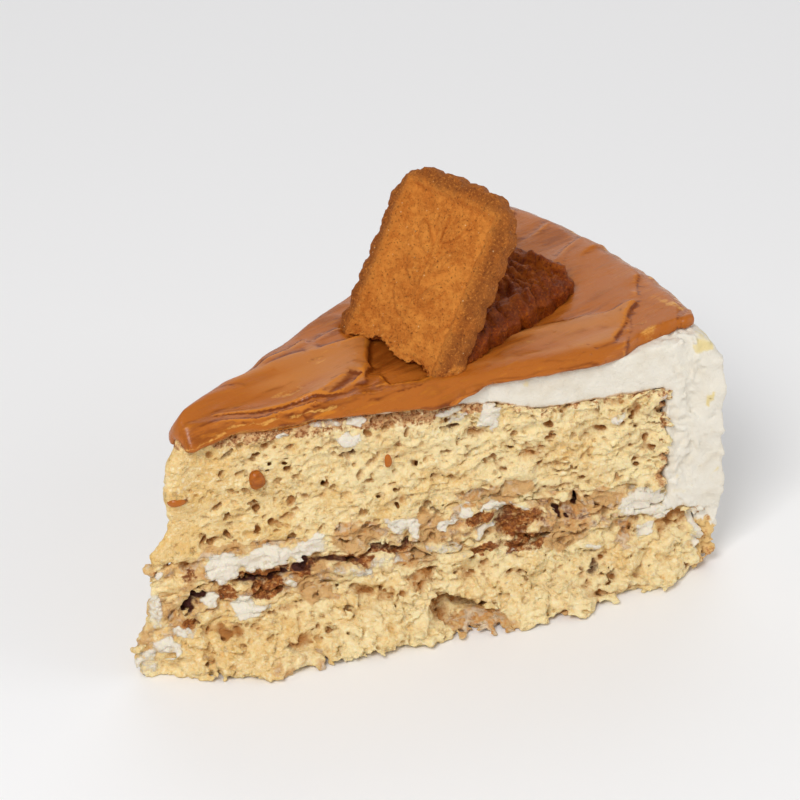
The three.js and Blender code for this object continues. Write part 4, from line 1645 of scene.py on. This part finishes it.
@dataclass(frozen=True)
class BiscuitForm:
    """A whole biscuit's sizes in millimetres: its outline, its scallops and the panel in its face.

    The mesh closes in on a spine along its middle. The break blends into the edge over a few points.
    """

    width: float = 34.0
    length: float = 63.0
    thickness: float = 6.5
    corner: float = 9.5
    scallop: float = 6.4
    lobe: float = 0.65
    edge_round: float = 2.3
    border: float = 5.0
    panel_depth: float = 1.15
    back_round: float = 1.5
    spine_start: float = 9.0
    break_blend: int = 9
    step: float = 0.5
    inner_rings: int = 30
    edge_rings: int = 9
    evening: int = 30


@dataclass
class Biscuit:
    """A broken biscuit, built lying flat: X across, Y along with its break at 0, its face up at 0."""

    name: str
    node: str
    slot: str
    rise: float
    broken_line: Callable[[np.ndarray], np.ndarray]
    pose: Matrix
    finish: bpy.types.Material
    seed: int
    ridges: float = 0.0
    form: BiscuitForm = BiscuitForm()

    def outline(self) -> tuple[np.ndarray, np.ndarray]:
        """Walks round the biscuit's edge.

        Returns:
            The edge's points in plan, and for each whether it is on the break.
        """
        form = self.form
        half_width, half_length = form.width / 2 - form.corner, form.length / 2 - form.corner
        turns = np.linspace(0.0, 2.0 * math.pi, 721)[:-1]
        arcs = np.stack([np.cos(turns), np.sin(turns)], axis=1) * form.corner
        arcs += np.sign(np.round(arcs, 9)) * (half_width, half_length)
        loop = np.concatenate([arcs, arcs[:1]])
        travelled = np.concatenate([[0.0], np.cumsum(np.hypot(*np.diff(loop, axis=0).T))])
        lobes = round(travelled[-1] / form.scallop)
        count = lobes * round(form.scallop / form.step)
        stations = np.arange(count) * travelled[-1] / count
        points = np.stack([np.interp(stations, travelled, loop[:, axis]) for axis in (0, 1)], axis=1)
        side = np.roll(points, -1, axis=0) - np.roll(points, 1, axis=0)
        side = np.stack([side[:, 1], -side[:, 0]], axis=1) / np.hypot(*side.T)[:, None]
        phase = stations / travelled[-1] * lobes * math.pi
        points = points + side * (form.lobe * (np.abs(np.sin(phase)) ** 0.8 - 1.0))[:, None]
        points[:, 1] += self.rise - form.length / 2
        whole = points[points[:, 1] > self.broken_line(points[:, 0])]
        first = int(np.argmin(whole[:, 1] + 100.0 * (whole[:, 0] < 0)))
        whole = np.roll(whole, -first, axis=0)
        across = np.arange(whole[-1, 0] + form.step, whole[0, 0], form.step)
        broken = np.stack([across, self.broken_line(across)], axis=1)
        on_break = np.concatenate([np.zeros(len(whole), bool), np.ones(len(broken), bool)])
        return np.concatenate([whole, broken]), on_break

    def build(self, cutter: Matrix | None = None) -> None:
        """Extrudes the edge ring by ring over the face and the back, models the relief and dresses it.

        Args:
            cutter: Where given, the pose of the biscuit along whose back this one is cut.
        """
        shape = bmesh.new()
        self._extrude_rings(shape)
        self._even(shape)
        self._model(shape)
        shape.transform(self.pose)
        if cutter is not None:
            self._cut_clear(shape, cutter)
        layer = shape.verts.layers.float["baked"]
        baked = np.array([vert[layer] for vert in shape.verts])
        shape.verts.layers.float.remove(layer)
        piece = Piece.of_bmesh(self.name, shape)
        piece.paint("baked", baked)
        piece.dress(self.finish, self.slot, self.node)

    def _rings(self) -> list[tuple[float, tuple[float, float]]]:
        """Gives the rings from the face's middle round the edge to the back's middle.

        Returns:
            For each ring, how far it is inside the edge, and its height on the whole edge and on the break.
        """
        form = self.form
        inward = [form.edge_round + form.step * number for number in range(form.inner_rings, 0, -1)]
        rings = [(inset, (0.0, 0.0)) for inset in inward]
        shares = [number / form.edge_rings for number in range(form.edge_rings + 1)]
        for share in shares:
            turn = math.pi / 2 * share
            inset = form.edge_round * (1.0 - math.sin(turn))
            level = -form.edge_round * (1.0 - math.cos(turn))
            rings.append((inset, (level, -0.3 - form.thickness * 0.4 * share)))
        for share in shares:
            turn = math.pi / 2 * share
            inset = form.back_round * (1.0 - math.cos(turn))
            level = -form.thickness + form.back_round * (1.0 - math.sin(turn))
            rings.append((inset, (level, -form.thickness * (0.45 + 0.5 * share))))
        rings += [(inset, (-form.thickness, -form.thickness)) for inset in reversed(inward[::2])]
        return rings

    def _extrude_rings(self, shape: bmesh.types.BMesh) -> None:
        """Extrudes the outline both ways from the edge's middle, and closes the face and the back.

        Args:
            shape: The empty bmesh.
        """
        rings, (points, on_break) = self._rings(), self.outline()
        start = bmesh.ops.create_circle(shape, cap_ends=False, radius=1.0, segments=len(points))["verts"]
        edges = list(shape.edges)
        middle = len(rings) // 2
        placed, ends = {middle: start}, []
        for direction in (range(middle + 1, len(rings)), range(middle - 1, -1, -1)):
            ring, loop = start, edges
            for index in direction:
                ring, loop = self._next_ring(shape, ring, loop)
                placed[index] = ring
            ends.append(loop)
        self._place_rings(rings, placed, points, on_break)
        for loop in ends:
            bmesh.ops.triangle_fill(shape, use_beauty=True, edges=loop)
        bmesh.ops.recalc_face_normals(shape, faces=shape.faces)

    def _next_ring(self, shape: bmesh.types.BMesh, ring: list, loop: list) -> tuple[list, list]:
        """Extrudes one ring from the last.

        Args:
            shape: The bmesh.
            ring: The last ring's points, in order.
            loop: The last ring's edges.

        Returns:
            The new ring's points, in the same order, and its edges.
        """
        grown = bmesh.ops.extrude_edge_only(shape, edges=loop)["geom"]
        new = {item for item in grown if isinstance(item, bmesh.types.BMVert)}
        loop = [item for item in grown if isinstance(item, bmesh.types.BMEdge)
                and item.verts[0] in new and item.verts[1] in new]
        linked = {edge.other_vert(vert): vert for vert in new for edge in vert.link_edges
                  if edge.other_vert(vert) not in new}
        return [linked[vert] for vert in ring], loop

    def _place_rings(self, rings: list[tuple[float, tuple[float, float]]], placed: dict[int, list],
                     points: np.ndarray, on_break: np.ndarray) -> None:
        """Moves each ring's points to their places.

        Args:
            rings: The rings' insets and heights.
            placed: Each ring's points in the bmesh.
            points: The outline in plan.
            on_break: Which of its points are on the break.
        """
        form = self.form
        spine = np.clip(points[:, 1], form.spine_start, self.rise - form.width / 2)
        centre = np.stack([np.zeros(len(points)), spine], axis=1)
        reach = np.hypot(*(centre - points).T)
        taps = np.ones(form.break_blend) / form.break_blend
        wrapped = np.pad(on_break.astype(float), form.break_blend // 2, mode="wrap")
        broken = np.convolve(wrapped, taps, mode="valid")
        span = rings[0][0] - form.edge_round
        for index, (inset, (whole, torn)) in enumerate(rings):
            inward = max(inset - form.edge_round, 0.0) / span
            for number, vert in enumerate(placed[index]):
                kept = 1.0 - broken[number]
                depth = min(inset, form.edge_round) * kept
                depth += inward * (0.95 * reach[number] - form.edge_round * kept)
                flat = points[number] + (centre[number] - points[number]) * depth / reach[number]
                vert.co = (flat[0], flat[1], whole * kept + torn * broken[number])

    def _even(self, shape: bmesh.types.BMesh) -> None:
        """Evens out the points of the face and the back in plan.

        Args:
            shape: The bmesh, still lying flat.
        """
        near = 0.02
        back = near - self.form.thickness
        flats = [vert for vert in shape.verts if vert.co.z > -near or vert.co.z < back]
        for _ in range(self.form.evening):
            bmesh.ops.smooth_vert(shape, verts=flats, factor=0.5,
                                  use_axis_x=True, use_axis_y=True, use_axis_z=False)

    def _cut_clear(self, shape: bmesh.types.BMesh, cutter: Matrix) -> None:
        """Cuts the biscuit off along the back of another.

        Args:
            shape: The bmesh, in its place.
            cutter: The other biscuit's pose.
        """
        gap = 0.1
        behind = cutter @ Vector((0.0, 0.0, -self.form.thickness - gap))
        out = (cutter.to_3x3() @ Vector((0.0, 0.0, 1.0))).normalized()
        cut = bmesh.ops.bisect_plane(shape, geom=shape.verts[:] + shape.edges[:] + shape.faces[:],
                                     plane_co=behind, plane_no=out, clear_outer=True)
        rim = [item for item in cut["geom_cut"] if isinstance(item, bmesh.types.BMEdge)]
        bmesh.ops.holes_fill(shape, edges=rim, sides=0)
        bmesh.ops.triangulate(shape, faces=[face for face in shape.faces if len(face.verts) > 4])

    def _model(self, shape: bmesh.types.BMesh) -> None:
        """Moves the points for the panel, the plain leaf pressed into it, the pillowed border and the crumb.

        Args:
            shape: The bmesh, still lying flat. It gains a layer that says how baked each point is.
        """
        form = self.form
        shape.normal_update()
        places = np.array([vert.co for vert in shape.verts], dtype=np.float32)
        normals = np.array([vert.normal for vert in shape.verts], dtype=np.float32)
        on_face = ease(places[:, 2], -0.8, -0.1) * (normals[:, 2] > 0.3)
        x, y = places[:, 0], places[:, 1] - self.rise + form.length / 2
        edge = np.minimum(form.width / 2 - np.abs(x), form.length / 2 - np.abs(y))
        lift = -form.panel_depth * ease(edge, form.border - 0.4, form.border + 0.7)
        lift += 0.5 * np.exp(-((edge - form.border + 1.1) / 0.9) ** 2)
        lift += self._leaf(x, y - 9.0)
        valleys = Grain(self.seed + 5)(np.stack([(x + 0.35 * y) / 11.0, y / 4.2, np.zeros_like(x)], axis=1))
        lift += self.ridges * (1.3 - 1.5 * np.exp(-(valleys / 0.16) ** 2)) * ease(edge, 0.0, 4.0)
        crumb = Relief(Form.SWELLS, (6.0, 6.0, 5.0), 0.42, self.seed)(places)
        crumb += Relief(Form.SWELLS, (1.6, 1.6, 1.6), 0.26, self.seed + 1)(places)
        crumb += Relief(Form.LUMPS, (1.0, 1.0, 1.0), 0.14, self.seed + 2)(places)
        crumb += self.ridges * Relief(Form.LUMPS, (3.6, 3.6, 3.6), 0.65, self.seed + 6)(places)
        break_near = 1.0 - ease(places[:, 1] - self.broken_line(places[:, 0]), 0.3, 2.0)
        crumb += break_near * Relief(Form.LUMPS, (1.8, 1.8, 1.4), 0.55, self.seed + 3)(places)
        moved = places + normals * crumb[:, None]
        moved[:, 2] += lift * on_face
        border = 1.0 - ease(edge, 0.5, 7.0)
        baked = np.clip(border * on_face + 0.7 * (1.0 - on_face) * (1.0 - break_near), 0.0, 1.0)
        layer = shape.verts.layers.float.new("baked")
        for vert, place, share in zip(shape.verts, moved.tolist(), baked.tolist()):
            vert.co = place
            vert[layer] = share

    def _leaf(self, x: np.ndarray, y: np.ndarray) -> np.ndarray:
        """Gives the height of a plain raised leaf spray on the panel.

        Args:
            x: The places across the biscuit, from its middle.
            y: The places along it, from the spray's middle.

        Returns:
            The height at each place, in millimetres.
        """
        height = np.zeros_like(x)
        for number in range(6):
            lean = 0.6 if number % 2 else -0.6
            at_x, at_y = 3.6 * np.sign(lean), -9.0 + 4.0 * number
            along = (x - at_x) * math.sin(lean) + (y - at_y) * math.cos(lean)
            across = (x - at_x) * math.cos(lean) - (y - at_y) * math.sin(lean)
            off = (along / 4.6) ** 2 + (across / 1.7) ** 2
            height = np.maximum(height, ease(off, 1.0, 0.66)) - 0.5 * np.exp(-((off - 1.3) / 0.3) ** 2)
        stem = ease(np.abs(x), 0.9, 0.4) * ease(np.abs(y), 14.5, 13.0)
        return np.maximum(height, 0.8 * stem)


def broken_edge(curve: Profile, seed: int) -> Callable[[np.ndarray], np.ndarray]:
    """Gives a break's line: a curve with ragged teeth.

    Args:
        curve: The curve across the biscuit.
        seed: The seed for the teeth.

    Returns:
        The line's place along the biscuit for places across it.
    """
    grain = Grain(seed)

    def line(across: np.ndarray) -> np.ndarray:
        """Gives the line's place along the biscuit."""
        at = on_line(across)
        return curve(across) + 0.9 * grain(at / 2.3) + 0.35 * grain(at / 0.9 + 7.0)

    return line


def standing_pose() -> Matrix:
    """Places the standing biscuit: it leans back and looks towards the tip.

    Returns:
        The pose, in millimetres.
    """
    facing, lean, roll = math.radians(198), math.radians(60), math.radians(-5.8)
    back = Vector((-math.cos(facing), -math.sin(facing), 0.0))
    up = back * math.cos(lean) + Vector((0.0, 0.0, math.sin(lean)))
    face = back * -math.sin(lean) + Vector((0.0, 0.0, math.cos(lean)))
    side = up.cross(face)
    foot = (58.4 + PLAN.tip[0], -5.1 + PLAN.tip[1], 64.6)
    pose = Matrix((side, up, face)).transposed().to_4x4()
    return Matrix.Translation(foot) @ pose @ Matrix.Rotation(roll, 4, "Z")


def lying_pose(rise: float) -> Matrix:
    """Places the lying biscuit with its outer end where the photo shows it.

    Args:
        rise: How long the broken piece is.

    Returns:
        The pose, in millimetres.
    """
    turn, dip, tilt = math.radians(15), math.radians(-0.6), math.radians(3)
    form = BiscuitForm()
    corner = Matrix.Translation((115.6 + PLAN.tip[0], -7.4 + PLAN.tip[1], 63.6))
    turned = Matrix.Rotation(turn - math.pi / 2, 4, "Z")
    tipped = Matrix.Rotation(dip, 4, "X") @ Matrix.Rotation(tilt, 4, "Y")
    return corner @ turned @ tipped @ Matrix.Translation((-form.width / 2, -rise, form.thickness))


@dataclass(frozen=True)
class Studio:
    """A plain pale floor, soft light and the camera, in millimetres."""

    camera_from: Vector = Vector((-428.1, -581.5, 458.4))
    camera_to: Vector = Vector((52.0, 67.3, 0.0))
    lens: float = 157.5
    sensor: float = 36.0
    look_at: Vector = Vector((0.0, 0.0, 30.0))
    sky: tuple[float, ...] = (0.96, 0.97, 1.0, 1.0)
    sky_strength: float = 0.4
    floor: Colour = srgb("f7f6f5")
    floor_size: float = 4000.0
    lights: tuple[tuple[str, Colour, float, float], ...] = (
        ("key", (-760.0, -520.0, 950.0), 480.0, 10.6),
        ("fill", (900.0, -750.0, 420.0), 900.0, 3.4),
        ("back", (720.0, 980.0, 720.0), 1200.0, 3.5))

    def build(self) -> None:
        """Sets the camera, the lights, the sky and the floor."""
        self._camera()
        for light in self.lights:
            self._light(*light)
        world = bpy.data.worlds.new("studio")
        world.use_nodes = True
        sky = world.node_tree.nodes["Background"]
        sky.inputs["Color"].default_value = self.sky
        sky.inputs["Strength"].default_value = self.sky_strength
        bpy.context.scene.world = world
        bpy.context.scene.view_settings.view_transform = "Standard"
        self._floor()

    def _camera(self) -> None:
        """Puts the camera at the photograph's angle."""
        camera = bpy.data.objects.new("camera", bpy.data.cameras.new("camera"))
        camera.data.lens = self.lens
        camera.data.sensor_width = self.sensor
        camera.location = self.camera_from * MM
        camera.rotation_euler = (self.camera_to - self.camera_from).to_track_quat("-Z", "Y").to_euler()
        bpy.context.scene.collection.objects.link(camera)
        bpy.context.scene.camera = camera

    def _light(self, name: str, place: tuple[float, float, float], size: float, power: float) -> None:
        """Hangs a soft square light that looks at the slice.

        Args:
            name: The light's name.
            place: Where it hangs, in millimetres.
            size: Its side, in millimetres.
            power: Its power in watts.
        """
        light = bpy.data.lights.new(name, "AREA")
        light.size = size * MM
        light.energy = power
        item = bpy.data.objects.new(name, light)
        item.location = Vector(place) * MM
        item.rotation_euler = (self.look_at - Vector(place)).to_track_quat("-Z", "Y").to_euler()
        bpy.context.scene.collection.objects.link(item)

    def _floor(self) -> None:
        """Lays the pale floor."""
        shape = bmesh.new()
        bmesh.ops.create_grid(shape, x_segments=1, y_segments=1, size=self.floor_size)
        floor = Piece.of_bmesh("floor", shape)
        recipe = Recipe("pale_floor")
        floor.item.data.materials.append(recipe.finish({}, {"Base Color": self.floor, "Roughness": 0.6}))


def filling_cream(node: str, name: str, finish: bpy.types.Material, seed: int) -> CutLayer:
    """Plans one of the two thin creams of the filling.

    Args:
        node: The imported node.
        name: The piece's name.
        finish: The layers' material.
        seed: The seed for its crumb.

    Returns:
        The layer.
    """
    return CutLayer(
        node, name, "cream", finish, TornCrumb(0.7, 0.6, 0.7, 0.4, 0.16, seed, crumbs=0.4),
        (Pores(9.0, 0.45, 1.0, seed + 1, 2.0),), tan=0.5, adaptivity=0.12)


def cut_layers(finish: bpy.types.Material) -> tuple[CutLayer, ...]:
    """Plans the layers that run through the slice, from the plate up.

    Args:
        finish: The material that they share.

    Returns:
        The layers.
    """
    return (
        CutLayer(
            "bottom_sponge", "sponge_bottom_layer", "sponge", finish,
            TornCrumb(1.9, 1.0, 0.7, 0.8, 0.14, 21, pitch=(6.2, 6.2, 4.2), ledge=1.4, crumbs=0.75),
            (Pores(14.0, 0.45, 0.9, 31, 1.8, 1.5),), cell=0.45, push=spots((
                (50, 6, 9, 5, 1.2), (85, 4.5, 5, 4.5, 1.5), (95.5, 5.5, 5, 5.5, 1.4),
                (71, 7.8, 9, 2.4, 1.3, -20), (66, 3, 70, 3, 0.8), (66, -1, 90, 2.4, -1.2),
                (70, 4.6, 8.5, 1.4, -1.2, -20), (64, 4, 4, 3, -0.6), (114, 5, 6, 4, 0.8)))),
        filling_cream("lower_cream", "lower_cream_filling", finish, 41),
        CutLayer(
            "biscuit_crumb", "soaked_biscuit_layer", "soaked_crumb", finish,
            TornCrumb(0.8, 0.9, 0.9, 0.6, 0.2, 51, crumbs=0.55),
            (Pores(8.0, 0.6, 1.4, 52, 2.0),), tan=0.6, brown=0.36, adaptivity=0.12),
        filling_cream("upper_cream", "upper_cream_filling", finish, 61),
        TopSponge(
            "top_sponge", "sponge_top_layer", "sponge", finish,
            TornCrumb(1.2, 0.7, 0.7, 0.35, 0.12, 71, ledge=1.3, crumbs=0.36),
            (Pores(26.0, 0.42, 0.95, 72, 1.9, 1.8), Pores(1.6, 0.8, 1.3, 73, 1.5, 1.8),
             Pores(1.0, 0.6, 1.1, 74, 2.6, 1.5)), cell=0.4, adaptivity=0.26))


def build_biscuits() -> None:
    """Builds the two broken biscuits, the lying one cut clear of the standing one's back."""
    standing = standing_pose()
    standing_break = Profile((
        (-17, 3), (-16.2, 1), (-14.6, 0.3), (-11, 1.5), (-5, 3.2), (2, 1), (7, 1.9), (12, -0.4), (15, 0.6),
        (17.5, 3.6)))
    Biscuit(
        "standing_biscuit_baked", "standing_biscuit", "biscuit", 44.7, broken_edge(standing_break, 81),
        standing, BiscuitFinish().material(), 82).build()
    coated = BiscuitFinish(
        name="coated_biscuit", light=srgb("c0640f"), brown=srgb("8a3a08"), baked=srgb("6c2a05"),
        pit=srgb("341102"), crystal=srgb("c07428"), roughness=0.42, coat=0.08, specular=0.14)
    lying_rise = 51.0
    Biscuit(
        "lying_biscuit_coated", "lying_biscuit", "coated_biscuit", lying_rise,
        broken_edge(Profile(((-18, 0.0), (18, 0.0))), 91), lying_pose(lying_rise),
        coated.material(), 92, ridges=1.0).build(standing)


def main() -> None:
    """Sets the light and the camera, then builds the slice from the plate up."""
    logging.basicConfig(level=logging.INFO, format="%(message)s")
    Studio().build()
    for layer in cut_layers(LayerFinish().material()):
        layer.build()
    Coat(CreamFinish().material()).build()
    spread = SpreadFinish().material()
    Spread(spread).build()
    for drop in (Drop("spread_drop_large", 20.4, 46.5, 2.2, 2.4, 1.0),
                 Drop("spread_drop_small", 52.2, 45.4, 1.0, 1.7),
                 Drop("spread_drop_tip", 1.2, 44.4, 2.5, 1.3)):
        drop.build(spread)
    build_biscuits()


if __name__ == "__main__":
    main()
    bpy.context.view_layer.update()
